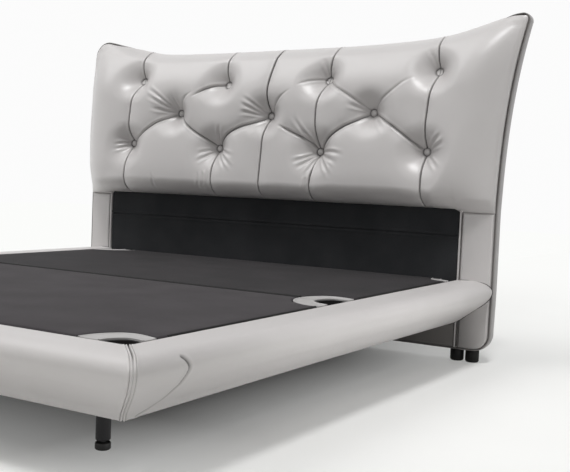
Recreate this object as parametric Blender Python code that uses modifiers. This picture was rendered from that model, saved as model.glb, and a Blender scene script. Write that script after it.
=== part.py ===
"""Double bed with a tufted, winged headboard, padded rails and two lift-out deck panels.

X runs across the bed, Y towards the headboard and Z up. The floor is Z = 0.
The origin is on the floor, in the middle of the bed's length and width.
"""
import math

import bmesh
import bpy
from mathutils import Matrix, Vector

# Main sizes, metres
mattress_width = 1.80
mattress_length = 2.00
fit_gap = 0.0003

# Rails
rail_top_height = 0.327
rail_depth = 0.1855
rail_reach = 0.106
rail_head_reach = 0.148
core_width = 0.040
under_core_thickness = 0.0101

# Rail outlines as shares of the reach and of the depth below the rail's top
rail_outline_shares = (
    (0.000, 0.027), (0.075, 0.000), (0.283, 0.000), (0.755, 0.011), (0.953, 0.075),
    (1.000, 0.178), (0.896, 0.302), (0.651, 0.453), (0.425, 0.555), (0.179, 0.663),
    (0.000, 0.739), (-0.274, 0.857), (-0.472, 0.995), (-0.519, 1.000))
head_outline_shares = (
    (0.000, 0.038), (0.068, 0.005), (0.392, -0.008), (0.743, 0.038), (0.932, 0.102),
    (1.000, 0.167), (0.878, 0.350), (0.676, 0.539), (0.473, 0.679), (0.270, 0.803),
    (0.081, 0.900), (0.000, 0.922), (-0.270, 1.005), (-0.372, 1.010))

# Headboard
post_width = 0.150
headboard_base_height = 0.047
headboard_height = 1.282
seam_height = 0.597
base_corner_radius = 0.070
wing_flare = 0.072
wing_rise = 0.115
wing_radius = 0.045
flare_start_height = 0.650
flare_power_share = 2.4
rise_power_share = 4.2
recline_share = 0.11
band_thickness = 0.005
piping_radius = 0.003
pad_depth = 0.034
board_thickness = 0.018
back_cover_thickness = 0.004
recess_depth = 0.004
recess_seam_height = 0.500
welt_width = 0.0105
pad_edge_radius = 0.004
groove_width = 0.004
groove_depth = 0.002

# Tufted cushion and buttons
button_pitch = 0.2545
button_low_row_share = 0.340
button_row_pitch_share = 0.231
button_end_lift = 0.0125
button_radius = 0.015
button_thickness = 0.010
button_floor_share = 1.65
button_outline_shares = ((0.0, 1.0), (0.5, 0.9), (0.85, 0.6), (1.0, 0.2), (0.9, 0.0), (0.0, 0.0))
bulge = 0.115
tuft_depth = 0.081
crease_depth = 0.020
tuft_reach = 0.120
bottom_roll = 0.100
top_roll = 0.260
side_roll = 0.200
lattice_steps = 4
side_column_shares = (0.20, 0.40, 0.60, 0.76, 0.89, 1.00)
top_row_shares = (0.18, 0.36, 0.54, 0.70, 0.82, 0.92, 1.00)
bottom_row_shares = (0.06, 0.18, 0.36, 0.56, 0.78)

# Deck
deck_gap = 0.012
panel_split_gap = 0.003
deck_board_thickness = 0.015
deck_pad_thickness = 0.0219
deck_pad_radius = 0.009
grip_outer_radius = 0.140
grip_inner_radius = 0.068
grip_thickness = 0.017
grip_edge_radius = 0.003
grip_clearance = 0.003
finger_notch_radius = 0.060

# Bearers, ledgers, legs and glides
bearer_height = 0.040
bearer_width = 0.040
middle_bearer_width = 0.060
bearer_setback = 0.231
ledger_height = 0.025
ledger_width = 0.030
ledger_end_clearance = 0.120
head_ledger_height = 0.040
head_ledger_end_gap = 0.100
leg_inset = 0.264
leg_radius = 0.019
leg_flange_radius = 0.030
leg_flange_thickness = 0.003
glide_height = 0.020
glide_radius = 0.020
glide_edge_radius = 0.005
neck_gap = 0.0045
stud_radius = 0.004
stud_length = 0.045
stud_flange_radius = 0.008
stud_flange_height = 0.003
stud_bore_clearance = 0.0005
stud_bore_spare = 0.006
foot_radius = 0.026
foot_edge_radius = 0.009
foot_offset_inner = 0.017
foot_offset_outer = 0.080
foot_centre_depth = 0.0275

# Brackets
bracket_leg = 0.075
bracket_thickness = 0.003
bracket_base_margin = 0.005
bracket_top_margin = 0.0045

# Counts of sides on round pieces
round_steps = 24
small_steps = 12
arc_steps = 6
weld_share = 0.000001
point_weight = 1.0

# Values that follow from the sizes above
half_width = mattress_width / 2
headboard_half_width = half_width + post_width
cushion_full_height = headboard_height - seam_height
button_row_height = seam_height + cushion_full_height * button_low_row_share
button_row_pitch = cushion_full_height * button_row_pitch_share
core_top_height = rail_top_height - deck_pad_thickness - deck_board_thickness - 2 * fit_gap
core_base_height = rail_top_height - rail_depth * rail_outline_shares[10][1] + under_core_thickness
recess_base_height = core_top_height + 2 * fit_gap
bracket_base_height = core_base_height + bracket_base_margin
bracket_height = core_top_height - bracket_top_margin - bracket_base_height
wing_half_width = headboard_half_width + wing_flare
wing_height = headboard_height + wing_rise
inner_inset = 2 * piping_radius + 3 * fit_gap
cover_back = pad_depth + board_thickness + back_cover_thickness + 2 * fit_gap
core_inner = half_width - fit_gap - core_width
head_ledger_half_length = core_inner - head_ledger_end_gap
leg_spread = half_width - leg_inset
deck_board_base = core_top_height + fit_gap
deck_pad_base = deck_board_base + deck_board_thickness + fit_gap
deck_half_width = half_width - deck_gap
ledger_top = core_top_height - bearer_height - fit_gap
button_top_height = button_row_height + 2 * button_row_pitch
panel_front = recess_depth - fit_gap
collection_name = "double_bed"


def clear_scene():
    for item in list(bpy.data.objects):
        bpy.data.objects.remove(item, do_unlink=True)


def make_collection():
    collection = bpy.data.collections.new(collection_name)
    bpy.context.scene.collection.children.link(collection)
    return collection


def make_material(name, colour, roughness, metallic=0.0):
    material = bpy.data.materials.new(name)
    material.use_nodes = True
    shader = material.node_tree.nodes["Principled BSDF"]
    shader.inputs["Base Color"].default_value = (*colour, 1.0)
    shader.inputs["Roughness"].default_value = roughness
    shader.inputs["Metallic"].default_value = metallic
    material.diffuse_color = (*colour, 1.0)
    return material


def finish_mesh(name, bm, material_name, smooth=False):
    """Weld, face outward and store one named body with its own material."""
    bmesh.ops.remove_doubles(bm, verts=bm.verts, dist=weld_share)
    bmesh.ops.recalc_face_normals(bm, faces=bm.faces)
    mesh = bpy.data.meshes.new(name)
    bm.to_mesh(mesh)
    bm.free()
    for face in mesh.polygons:
        face.use_smooth = smooth
    item = bpy.data.objects.new(name, mesh)
    colour, roughness, metallic = finishes[material_name]
    mesh.materials.append(make_material(name + "_" + material_name, colour, roughness, metallic))
    bpy.data.collections[collection_name].objects.link(item)
    return item


def bake(item):
    """Replace an object's mesh by the mesh that its modifiers give."""
    bpy.context.view_layer.update()
    graph = bpy.context.evaluated_depsgraph_get()
    mesh = bpy.data.meshes.new_from_object(item.evaluated_get(graph))
    item.modifiers.clear()
    item.data = mesh
    return item


def move_origin(item, point):
    """Put an object's origin at a point without moving its surface."""
    offset = Vector(point) - item.location
    item.data.transform(Matrix.Translation(-offset))
    item.location = point


def box(name, low, high, material_name):
    bm = bmesh.new()
    size = [high[axis] - low[axis] for axis in range(3)]
    centre = [(high[axis] + low[axis]) / 2 for axis in range(3)]
    matrix = Matrix.Translation(centre) @ Matrix.Diagonal((*size, 1.0))
    bmesh.ops.create_cube(bm, size=1.0, matrix=matrix)
    return finish_mesh(name, bm, material_name)


def plate(name, outline, low, high, edge_radius, material_name, upright=False):
    """A flat piece with an outline, between two levels, with softened edges.

    A level plate has its outline in X and Y. An upright one has it in X and Z, and its levels are in Y.
    """
    curve = bpy.data.curves.new(name, "CURVE")
    curve.dimensions = "2D"
    curve.fill_mode = "BOTH"
    curve.extrude = (high - low) / 2 - edge_radius
    curve.bevel_depth = edge_radius
    curve.bevel_resolution = 1
    curve.offset = -edge_radius
    spline = curve.splines.new("POLY")
    spline.points.add(len(outline) - 1)
    for point, place in zip(spline.points, outline):
        point.co = (*place, 0.0, point_weight)
    spline.use_cyclic_u = True
    item = bpy.data.objects.new(name, curve)
    bpy.data.collections[collection_name].objects.link(item)
    bpy.context.view_layer.update()
    graph = bpy.context.evaluated_depsgraph_get()
    mesh = bpy.data.meshes.new_from_object(item.evaluated_get(graph))
    bpy.data.objects.remove(item, do_unlink=True)
    middle = (high + low) / 2
    turn = Matrix.Translation((0, 0, middle))
    if upright:
        turn = Matrix.Translation((0, middle, 0)) @ Matrix.Rotation(math.pi / 2, 4, "X")
    mesh.transform(turn)
    bm = bmesh.new()
    bm.from_mesh(mesh)
    return finish_mesh(name, bm, material_name)


def revolve(name, profile, steps, material_name, smooth=True):
    """A round piece about Z from (radius, height) points that run from top to bottom."""
    mesh = bpy.data.meshes.new(name)
    points = [(radius, 0.0, height) for radius, height in profile]
    mesh.from_pydata(points, [(index, index + 1) for index in range(len(points) - 1)], [])
    item = bpy.data.objects.new(name, mesh)
    bpy.data.collections[collection_name].objects.link(item)
    screw = item.modifiers.new("turn", "SCREW")
    screw.steps = steps
    screw.render_steps = steps
    screw.use_merge_vertices = True
    screw.merge_threshold = weld_share
    bake(item)
    bm = bmesh.new()
    bm.from_mesh(item.data)
    bpy.data.objects.remove(item, do_unlink=True)
    return finish_mesh(name, bm, material_name, smooth)


def loft(name, sections, material_name):
    """A closed body through sections with the same number of points."""
    bm = bmesh.new()
    rings = [[bm.verts.new(point) for point in section] for section in sections]
    count = len(rings[0])
    for near, far in zip(rings[:-1], rings[1:]):
        for index in range(count):
            after = (index + 1) % count
            bm.faces.new((near[index], near[after], far[after], far[index]))
    bm.faces.new(rings[0])
    bm.faces.new(rings[-1])
    return finish_mesh(name, bm, material_name)


def arc(centre, radius, start_degrees, end_degrees, steps):
    points = []
    for step in range(steps + 1):
        angle = math.radians(start_degrees + (end_degrees - start_degrees) * step / steps)
        points.append((centre[0] + radius * math.cos(angle), centre[1] + radius * math.sin(angle)))
    return points


# Outline of the headboard
def side_half_width(height):
    rise = max(0.0, (height - flare_start_height) / (wing_height - flare_start_height))
    return headboard_half_width + wing_flare * rise ** flare_power_share


def top_height(across):
    return headboard_height + wing_rise * (abs(across) / wing_half_width) ** rise_power_share


def wing_arc():
    """Points of the wing's rounded tip, from the side's tangent to the top's tangent."""
    side_slope = wing_flare * flare_power_share / (wing_height - flare_start_height)
    top_slope = wing_rise * rise_power_share / wing_half_width
    down = Vector((-side_slope, -1.0)).normalized()
    inward = Vector((-1.0, -top_slope)).normalized()
    half_angle = down.angle(inward) / 2
    corner = Vector((wing_half_width, wing_height))
    run = wing_radius / math.tan(half_angle)
    middle = (down + inward).normalized() * wing_radius / math.sin(half_angle)
    centre = corner + middle
    first = math.atan2(*(corner + down * run - centre).yx)
    last = math.atan2(*(corner + inward * run - centre).yx)
    return centre, first, last


def wing_point(share):
    centre, first, last = wing_arc()
    angle = first + (last - first) * share
    return (centre.x + wing_radius * math.cos(angle), centre.y + wing_radius * math.sin(angle))


def outline_side(height):
    """Half width at a height, the rounded tip counted."""
    centre, first, last = wing_arc()
    turn = centre.y + wing_radius * math.sin(first)
    if height <= turn:
        return side_half_width(height)
    return centre.x + math.sqrt(max(0.0, wing_radius ** 2 - (height - centre.y) ** 2))


def outline_top(across):
    """Height at a distance from the middle, the rounded tip counted."""
    centre, first, last = wing_arc()
    turn = centre.x + wing_radius * math.cos(last)
    if across <= turn:
        return top_height(across)
    return centre.y + math.sqrt(max(0.0, wing_radius ** 2 - (across - centre.x) ** 2))


def row_heights():
    """Heights of the cushion's rows at its sides, from the seam to the wing's tip."""
    tip = wing_point(0.5)[1]
    rows = [seam_height]
    rows += [seam_height + (button_row_height - seam_height) * share for share in bottom_row_shares]
    step = button_row_pitch / lattice_steps
    rows += [button_row_height + step * index for index in range(2 * lattice_steps + 1)]
    rows += [button_top_height + (tip - button_top_height) * share for share in top_row_shares]
    return rows


def column_places():
    """Places of the cushion's columns along its top, from the middle to the wing's tip."""
    tip = wing_point(0.5)[0]
    reach = 3 * button_pitch
    step = button_pitch / lattice_steps
    columns = [step * index for index in range(3 * lattice_steps + 1)]
    return columns + [reach + (tip - reach) * share for share in side_column_shares]


def right_outline():
    """The right half of the outline: base corner, side rows, wing tip and top columns."""
    centre = (headboard_half_width - base_corner_radius, headboard_base_height + base_corner_radius)
    points = arc(centre, base_corner_radius, -90, 0, arc_steps)
    points += [(outline_side(height), height) for height in row_heights()[:-1]]
    points.append(wing_point(0.5))
    points += [(across, outline_top(across)) for across in reversed(column_places()[:-1])]
    return points


def full_outline(inset):
    """The whole outline, anticlockwise from the front, moved inward by an amount."""
    right = right_outline()
    left = [(-across, height) for across, height in reversed(right[:-1])]
    points = [Vector(point) for point in right + left]
    moved = []
    for index, point in enumerate(points):
        before = (point - points[index - 1]).normalized()
        after = (points[(index + 1) % len(points)] - point).normalized()
        normal = Vector((-(before.y + after.y), before.x + after.x)).normalized()
        spread = math.sqrt(max(0.5, (1 + before.dot(after)) / 2))
        moved.append(tuple(point + normal * inset / spread))
    return moved


def recline(height):
    return max(0.0, height - seam_height) * recline_share


def lean(item):
    """Tilt a flat upright piece with the headboard's slope."""
    for vertex in item.data.vertices:
        vertex.co.y += recline(vertex.co.z)


def head_plane():
    """Y of the front of the headboard's posts, so that the origin is in the middle."""
    top = max(point[1] for point in full_outline(0.0))
    back = recline(top) + cover_back
    return (mattress_length + rail_reach - back) / 2


# Headboard pieces
def make_band():
    """The strip round the headboard's edge, a closed ring."""
    bm = bmesh.new()
    front = piping_radius * 2 + fit_gap
    ring = [bm.verts.new((x, head_y + front + recline(z), z)) for x, z in full_outline(0.0)]
    edges = [bm.edges.new((ring[index - 1], ring[index])) for index in range(len(ring))]
    made = bmesh.ops.extrude_edge_only(bm, edges=edges)["geom"]
    for vertex in [part for part in made if isinstance(part, bmesh.types.BMVert)]:
        vertex.co.y += cover_back - front
    bmesh.ops.recalc_face_normals(bm, faces=bm.faces)
    centre = Vector((0.0, head_y, headboard_height / 2))
    first = list(bm.faces)[0]
    if first.normal.dot(first.calc_center_median() - centre) < 0:
        bmesh.ops.reverse_faces(bm, faces=bm.faces)
    mesh = bpy.data.meshes.new("band")
    bm.to_mesh(mesh)
    bm.free()
    item = bpy.data.objects.new("band", mesh)
    bpy.data.collections[collection_name].objects.link(item)
    wall = item.modifiers.new("wall", "SOLIDIFY")
    wall.thickness = band_thickness
    wall.offset = -1.0
    wall.use_even_offset = True
    bake(item)
    bm = bmesh.new()
    bm.from_mesh(item.data)
    bpy.data.objects.remove(item, do_unlink=True)
    return finish_mesh("edge_band", bm, "leather")


def make_piping():
    """The cord sewn along the front edge, a closed ring."""
    curve = bpy.data.curves.new("piping", "CURVE")
    curve.dimensions = "3D"
    curve.bevel_depth = piping_radius
    curve.bevel_resolution = 1
    spline = curve.splines.new("POLY")
    path = full_outline(piping_radius)
    spline.points.add(len(path) - 1)
    for point, (x, z) in zip(spline.points, path):
        point.co = (x, head_y + piping_radius + recline(z), z, point_weight)
    spline.use_cyclic_u = True
    item = bpy.data.objects.new("piping", curve)
    bpy.data.collections[collection_name].objects.link(item)
    bake_curve = bpy.data.meshes.new_from_object(item)
    bpy.data.objects.remove(item, do_unlink=True)
    bm = bmesh.new()
    bm.from_mesh(bake_curve)
    return finish_mesh("edge_piping", bm, "piping", True)


def lower_outline(inset, inner):
    """A post's outline from an inner edge to the headboard's side, below the seam."""
    count = arc_steps + 1
    shape = full_outline(inset)[:count]
    top = seam_height - fit_gap
    side = shape[-1][0]
    return [(inner, shape[0][1])] + shape + [(side, top), (inner, top)]


def make_posts():
    welt_inner = half_width + fit_gap
    welt_outer = welt_inner + welt_width
    pad_inner = welt_outer + fit_gap
    base = full_outline(inner_inset)[0][1]
    for side, name in ((1, "right"), (-1, "left")):
        shape = [(side * x, z) for x, z in lower_outline(inner_inset, pad_inner)]
        plate(name + "_post_pad", shape, head_y, head_y + pad_depth, pad_edge_radius, "leather", True)
        low, high = sorted((side * welt_inner, side * welt_outer))
        strip = [(low, base), (high, base), (high, seam_height - fit_gap), (low, seam_height - fit_gap)]
        plate(name + "_opening_welt", strip, head_y, head_y + pad_depth, pad_edge_radius / 2, "leather", True)


def make_inner_panels():
    """The dark panel in the opening, with its sewn groove, and the panel below it."""
    front = head_y + recess_depth
    back = head_y + pad_depth
    low = recess_base_height + fit_gap
    high = seam_height - fit_gap
    seam = recess_seam_height
    half = groove_width / 2
    side = [(front, low), (front, seam - half), (front + groove_depth, seam), (front, seam + half)]
    side += [(front, high), (back, high), (back, low)]
    sections = [[(x, y, z) for y, z in side] for x in (-half_width, half_width)]
    loft("recess_panel", sections, "dark_fabric")
    base = full_outline(inner_inset)[0][1]
    box("lower_panel", (-half_width, front, base), (half_width, back, recess_base_height), "grey_fabric")


def make_boards():
    """The wooden boards below and above the seam, and the sheet that covers their backs."""
    shape = full_outline(band_thickness + fit_gap)
    count = arc_steps + 1
    lower = shape[:count] + [(shape[count][0], seam_height - fit_gap)]
    lower += [(-x, z) for x, z in reversed(lower)]
    upper = [point for point in shape if point[1] > seam_height - 2 * fit_gap]
    upper = [(x, max(z, seam_height)) for x, z in upper]
    near = head_y + pad_depth + fit_gap
    plate("lower_board", lower, near, near + board_thickness, 0.0, "wood", True)
    lean(plate("upper_board", upper, near, near + board_thickness, 0.0, "wood", True))
    near += board_thickness + fit_gap
    cover = plate("back_cover", shape, near, near + back_cover_thickness, 0.0, "dark_fabric", True)
    bm = bmesh.new()
    bm.from_mesh(cover.data)
    parts = bm.verts[:] + bm.edges[:] + bm.faces[:]
    bmesh.ops.bisect_plane(
        bm, geom=parts, dist=weld_share, plane_co=(0.0, 0.0, seam_height), plane_no=(0.0, 0.0, 1.0))
    bm.to_mesh(cover.data)
    bm.free()
    lean(cover)


def top_row_lift(across):
    """How far the top row follows the wings: its outer buttons rise, and its inner ones drop."""
    columns = min(3.0, abs(across) / button_pitch)
    return button_end_lift * (columns ** 2 - 5) / 4


def button_places():
    """Places of the buttons as (across, height), row by row."""
    places = []
    for row, columns in ((2, (-3, -1, 1, 3)), (1, (-2, 0, 2)), (0, (-3, -1, 1, 3))):
        for column in columns:
            across = column * button_pitch
            lift = top_row_lift(across) if row == 2 else 0.0
            places.append((across, button_row_height + row * button_row_pitch + lift))
    return places


def crease_lines():
    """Seams and pleats as pairs of points."""
    lines = []
    places = button_places()
    for index, first in enumerate(places):
        for second in places[index + 1:]:
            across = abs(first[0] - second[0])
            rise = abs(first[1] - second[1])
            if across < 1.5 * button_pitch and 0 < rise < 1.5 * button_row_pitch:
                lines.append((first, second))
    for column in (-3, -1, 0, 1, 3):
        across = column * button_pitch
        lines.append(((across, seam_height), (across, headboard_height)))
    return lines


def distance_to_line(place, line):
    start = Vector(line[0])
    run = Vector(line[1]) - start
    offset = Vector(place) - start
    share = min(1.0, max(0.0, offset.dot(run) / run.dot(run)))
    return (offset - run * share).length


def cushion_height(across, height, lines):
    """How far the cushion stands in front of its edge."""
    rise = min(1.0, max(0.0, (height - seam_height) / bottom_roll))
    fall = min(1.0, max(0.0, (outline_top(abs(across)) - height) / top_roll))
    edge = min(1.0, max(0.0, (outline_side(min(height, wing_height)) - abs(across)) / side_roll))
    full = bulge * math.sqrt(1 - (1 - rise) ** 2)
    full *= math.sin(fall * math.pi / 2) * math.sin(edge * math.pi / 2)
    nearest = min(math.hypot(across - x, height - z) for x, z in button_places())
    dimple = tuft_depth * max(0.0, 1 - nearest / tuft_reach) ** 2
    width = button_row_pitch / lattice_steps / 2
    crease = min(distance_to_line((across, height), line) for line in lines)
    fold = crease_depth * max(0.0, 1 - crease / width)
    room = min(1.0, full / bulge * 2)
    return full - max(dimple, fold * room)


def button_seat(place, lines):
    """Y of the flat floor under a button."""
    across, height = place
    return head_y + recline(height) + piping_radius - cushion_height(across, height, lines)


def cut_button_floors(bm):
    """Cut a small diamond about each button's place in the flat lattice."""
    floor = button_radius * button_floor_share
    for place in button_places():
        near = min(bm.verts, key=lambda vertex: math.hypot(vertex.co.x - place[0], vertex.co.z - place[1]))
        bmesh.ops.bevel(
            bm, geom=[near], offset=floor, offset_type="OFFSET", affect="VERTICES", segments=1, profile=0.5)


def raise_cushion(bm):
    """Give the flat lattice its crown, tufts and folds, with a flat floor under each button."""
    lines = crease_lines()
    reach = button_radius * button_floor_share + fit_gap
    for vertex in bm.verts:
        across = vertex.co.x
        height = vertex.co.z
        front = 0.0 if vertex.is_boundary else cushion_height(across, height, lines)
        vertex.co.y = head_y + recline(height) + piping_radius - front
        for place in button_places():
            if math.hypot(across - place[0], height - place[1]) < reach:
                vertex.co.y = button_seat(place, lines)


def make_cushion():
    """The tufted cushion: a pillowed front, straight edges and a flat back."""
    shape = full_outline(inner_inset)
    rows = row_heights()
    columns = column_places()
    row_count = len(rows)
    column_count = len(columns)
    first_row = arc_steps + 1
    side = shape[first_row:first_row + row_count]
    top = list(reversed(shape[first_row + row_count - 1:first_row + row_count - 1 + column_count]))
    reach = 3 * button_pitch
    lattice_columns = 3 * lattice_steps + 1
    middle_row = button_row_height + button_row_pitch
    lattice_top = row_count - len(top_row_shares) - 1
    bm = bmesh.new()
    bmesh.ops.create_grid(bm, x_segments=2 * column_count - 2, y_segments=row_count - 1, size=1.0)
    ordered = sorted(bm.verts, key=lambda vertex: (round(vertex.co.y, 6), round(vertex.co.x, 6)))
    width = 2 * column_count - 1
    for place, vertex in enumerate(ordered):
        row = place // width
        column = place % width - (column_count - 1)
        sign = -1.0 if column < 0 else 1.0
        column = abs(column)
        share = 0.0 if row <= lattice_top else top_row_shares[row - lattice_top - 1]
        if column < lattice_columns:
            lift = top_row_lift(columns[column])
            across = columns[column] + (top[column][0] - columns[column]) * share
        else:
            part = side_column_shares[column - lattice_columns]
            lift = top_row_lift(reach) * (1 - part)
            straight = reach + (side[-1][0] - reach) * part
            across = reach + (side[row][0] - reach) * part + share * (top[column][0] - straight)
        height = rows[row] + lift * max(0.0, (rows[row] - middle_row) / button_row_pitch)
        if row > lattice_top:
            base = button_top_height + lift
            height = base + (top[column][1] - base) * share
        vertex.co = (sign * across, head_y, height)
    cut_button_floors(bm)
    raise_cushion(bm)
    rim = [edge for edge in bm.edges if edge.is_boundary]
    made = bmesh.ops.extrude_edge_only(bm, edges=rim)["geom"]
    back = [part for part in made if isinstance(part, bmesh.types.BMVert)]
    for vertex in back:
        vertex.co.y = head_y + recline(vertex.co.z) + pad_depth
    rim = [edge for edge in bm.edges if edge.is_boundary]
    bmesh.ops.edgeloop_fill(bm, edges=rim)
    return finish_mesh("headboard_cushion", bm, "leather", True)


def make_buttons():
    """Flat-backed domes, each on the floor of its tuft."""
    lines = crease_lines()
    profile = [(out * button_radius, up * button_thickness) for out, up in button_outline_shares]
    for index, place in enumerate(button_places()):
        item = revolve("tuft_button_%02d" % (index + 1), profile, small_steps, "leather")
        item.data.transform(Matrix.Rotation(math.pi / 2, 4, "X"))
        item.location = (place[0], button_seat(place, lines) - fit_gap, place[1])


# Rails, cores and brackets
def rail_section(shares, reach):
    """A rail's outline as (outward, height), the step for the core included."""
    points = [(out * reach, rail_top_height - down * rail_depth) for out, down in shares]
    shelf = core_base_height - fit_gap
    return points + [(points[-1][0], shelf), (0.0, shelf)]


def make_rails():
    foot = rail_section(rail_outline_shares, rail_reach)
    head = rail_section(head_outline_shares, rail_head_reach)
    mitre = fit_gap
    foot_y = head_y - mattress_length
    for side, name in ((1, "right"), (-1, "left")):
        near = [(side * (half_width + out), foot_y - out + mitre, height) for out, height in foot]
        far = [(side * (half_width + out), head_y - fit_gap, height) for out, height in head]
        loft(name + "_rail_cover", [near, far], "leather")
    ends = [[(side * (half_width + out - mitre), foot_y - out, height) for out, height in foot]
            for side in (-1, 1)]
    loft("foot_rail_cover", ends, "leather")


def make_cores():
    outer = half_width - fit_gap
    foot_y = head_y - mattress_length + fit_gap
    for side, name in ((1, "right"), (-1, "left")):
        low, high = sorted((side * core_inner, side * outer))
        box(name + "_rail_core", (low, foot_y, core_base_height),
            (high, head_y + panel_front, core_top_height), "dark_wood")
    reach = core_inner - fit_gap
    box("foot_rail_core", (-reach, foot_y, core_base_height),
        (reach, foot_y + core_width, core_top_height), "dark_wood")


def make_bracket(name, corner, side, direction):
    """An angle plate in an inner corner."""
    x, y = corner
    far_x = x - side * bracket_leg
    far_y = y + direction * bracket_leg
    in_x = x - side * bracket_thickness
    in_y = y + direction * bracket_thickness
    shape = [(x, y), (x, far_y), (in_x, far_y), (in_x, in_y), (far_x, in_y), (far_x, y)]
    plate(name, shape, bracket_base_height, bracket_base_height + bracket_height, 0.0, "steel")


def make_brackets():
    inner = core_inner - fit_gap
    foot_y = head_y - mattress_length + core_width + 2 * fit_gap
    face_y = head_y + panel_front
    for side, name in ((1, "right"), (-1, "left")):
        make_bracket(name + "_foot_bracket", (side * inner, foot_y), side, 1)
        make_bracket(name + "_head_bracket", (side * inner, face_y), side, -1)


# Deck
def panel_outline(near, far, notch):
    """A panel's outline with a quarter-round notch at each corner."""
    half = deck_half_width
    points = []
    corners = (((half, near), 180, 90), ((half, far), 270, 180),
               ((-half, far), 360, 270), ((-half, near), 90, 0))
    for centre, start, end in corners:
        points += arc(centre, notch, start, end, arc_steps)
    return points


def grip_outline(corner, turn):
    """A quarter ring about a corner, opening into the panel."""
    outer = arc(corner, grip_outer_radius, turn, turn + 90, 2 * arc_steps)
    inner = arc(corner, grip_inner_radius, turn + 90, turn, arc_steps)
    return outer + inner


def make_deck():
    middle = head_y - mattress_length / 2
    spans = (("head", middle + panel_split_gap / 2, head_y - deck_gap),
             ("foot", head_y - mattress_length + deck_gap, middle - panel_split_gap / 2))
    for name, near, far in spans:
        centre = (0.0, (near + far) / 2, deck_board_base)
        board = plate(name + "_deck_board", panel_outline(near, far, finger_notch_radius),
                      deck_board_base, deck_board_base + deck_board_thickness, 0.0, "dark_wood")
        notch = grip_outer_radius + grip_clearance
        pad = plate(name + "_deck_pad", panel_outline(near, far, notch),
                    deck_pad_base, deck_pad_base + deck_pad_thickness, deck_pad_radius, "grey_fabric")
        move_origin(board, centre)
        move_origin(pad, centre)
        corners = (("right_near", (deck_half_width, near), 90), ("right_far", (deck_half_width, far), 180),
                   ("left_far", (-deck_half_width, far), 270), ("left_near", (-deck_half_width, near), 0))
        for place, corner, turn in corners:
            grip = plate(name + "_grip_" + place, grip_outline(corner, turn),
                         deck_pad_base, deck_pad_base + grip_thickness, grip_edge_radius, "pale_grip")
            move_origin(grip, centre)


# Bearers, ledgers, legs and feet
def make_bearers():
    reach = core_inner - fit_gap
    low = ledger_top + fit_gap
    places = (("front", head_y - mattress_length + bearer_setback, bearer_width),
              ("middle", head_y - mattress_length / 2, middle_bearer_width))
    for name, y, width in places:
        box(name + "_bearer", (-reach, y - width / 2, low),
            (reach, y + width / 2, core_top_height), "black_steel")
    start = head_y - mattress_length + ledger_end_clearance
    for side, name in ((1, "right"), (-1, "left")):
        inner, outer = sorted((side * (reach - ledger_width), side * reach))
        box(name + "_ledger", (inner, start, ledger_top - ledger_height),
            (outer, head_y - ledger_end_clearance, ledger_top), "dark_wood")
    box("head_ledger", (-head_ledger_half_length, head_y + panel_front - ledger_width,
                        core_top_height - head_ledger_height),
        (head_ledger_half_length, head_y + panel_front, core_top_height), "dark_wood")


def make_leg(name, x, y):
    """A round leg with a fixing flange under a bearer, and its screw-in glide."""
    flange = ledger_top - leg_flange_thickness
    base = glide_height + neck_gap
    bore = stud_radius + stud_bore_clearance
    neck = glide_height + stud_flange_height
    bore_top = neck + stud_length + stud_bore_spare
    edge = glide_edge_radius / 2
    profile = [(0.0, ledger_top), (leg_flange_radius, ledger_top), (leg_flange_radius, flange)]
    profile += [(leg_radius, flange), (leg_radius, base + edge), (leg_radius - edge, base)]
    profile += [(bore, base), (bore, bore_top), (0.0, bore_top)]
    leg = revolve(name + "_leg", profile, round_steps, "black_steel")
    leg.location = (x, y, 0.0)
    edge = glide_edge_radius
    profile = [(0.0, neck + stud_length), (stud_radius, neck + stud_length), (stud_radius, neck)]
    profile += [(stud_flange_radius, neck), (stud_flange_radius, glide_height)]
    profile += [(glide_radius - edge, glide_height), (glide_radius, glide_height - edge)]
    profile += [(glide_radius, edge), (glide_radius - edge, 0.0), (0.0, 0.0)]
    glide = revolve(name + "_glide", profile, round_steps, "black_plastic")
    glide.location = (x, y, 0.0)


def make_legs():
    front = head_y - mattress_length + bearer_setback
    middle = head_y - mattress_length / 2
    make_leg("right_front", leg_spread, front)
    make_leg("left_front", -leg_spread, front)
    make_leg("centre", 0.0, middle)
    high = headboard_base_height - fit_gap
    edge = foot_edge_radius
    share = math.sin(math.pi / 4)
    for side, name in ((1, "right"), (-1, "left")):
        for offset, place in ((foot_offset_inner, "inner"), (foot_offset_outer, "outer")):
            profile = [(0.0, high), (foot_radius, high), (foot_radius, edge)]
            profile += [(foot_radius - edge * (1 - share), edge * (1 - share))]
            profile += [(foot_radius - edge, 0.0), (0.0, 0.0)]
            foot = revolve(name + "_rear_foot_" + place, profile, round_steps, "black_plastic")
            foot.location = (side * (half_width + offset), head_y + foot_centre_depth, 0.0)


finishes = {
    "leather": ((0.62, 0.59, 0.57), 0.42, 0.0),
    "piping": ((0.16, 0.15, 0.15), 0.55, 0.0),
    "dark_fabric": ((0.03, 0.03, 0.032), 0.92, 0.0),
    "grey_fabric": ((0.075, 0.072, 0.075), 0.9, 0.0),
    "wood": ((0.55, 0.42, 0.28), 0.6, 0.0),
    "dark_wood": ((0.04, 0.038, 0.036), 0.7, 0.0),
    "pale_grip": ((0.6, 0.6, 0.6), 0.5, 0.0),
    "black_steel": ((0.02, 0.02, 0.02), 0.4, 0.8),
    "steel": ((0.45, 0.45, 0.46), 0.35, 1.0),
    "black_plastic": ((0.015, 0.015, 0.015), 0.45, 0.0),
}

head_y = head_plane()


def main():
    clear_scene()
    make_collection()
    make_band()
    make_piping()
    make_posts()
    make_inner_panels()
    make_boards()
    make_cushion()
    make_buttons()
    make_rails()
    make_cores()
    make_brackets()
    make_deck()
    make_bearers()
    make_legs()


main()
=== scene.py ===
"""Looks of the double bed: tufted leather headboard, padded mitred rails, split deck, legs, light and camera."""
import functools
import math

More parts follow.
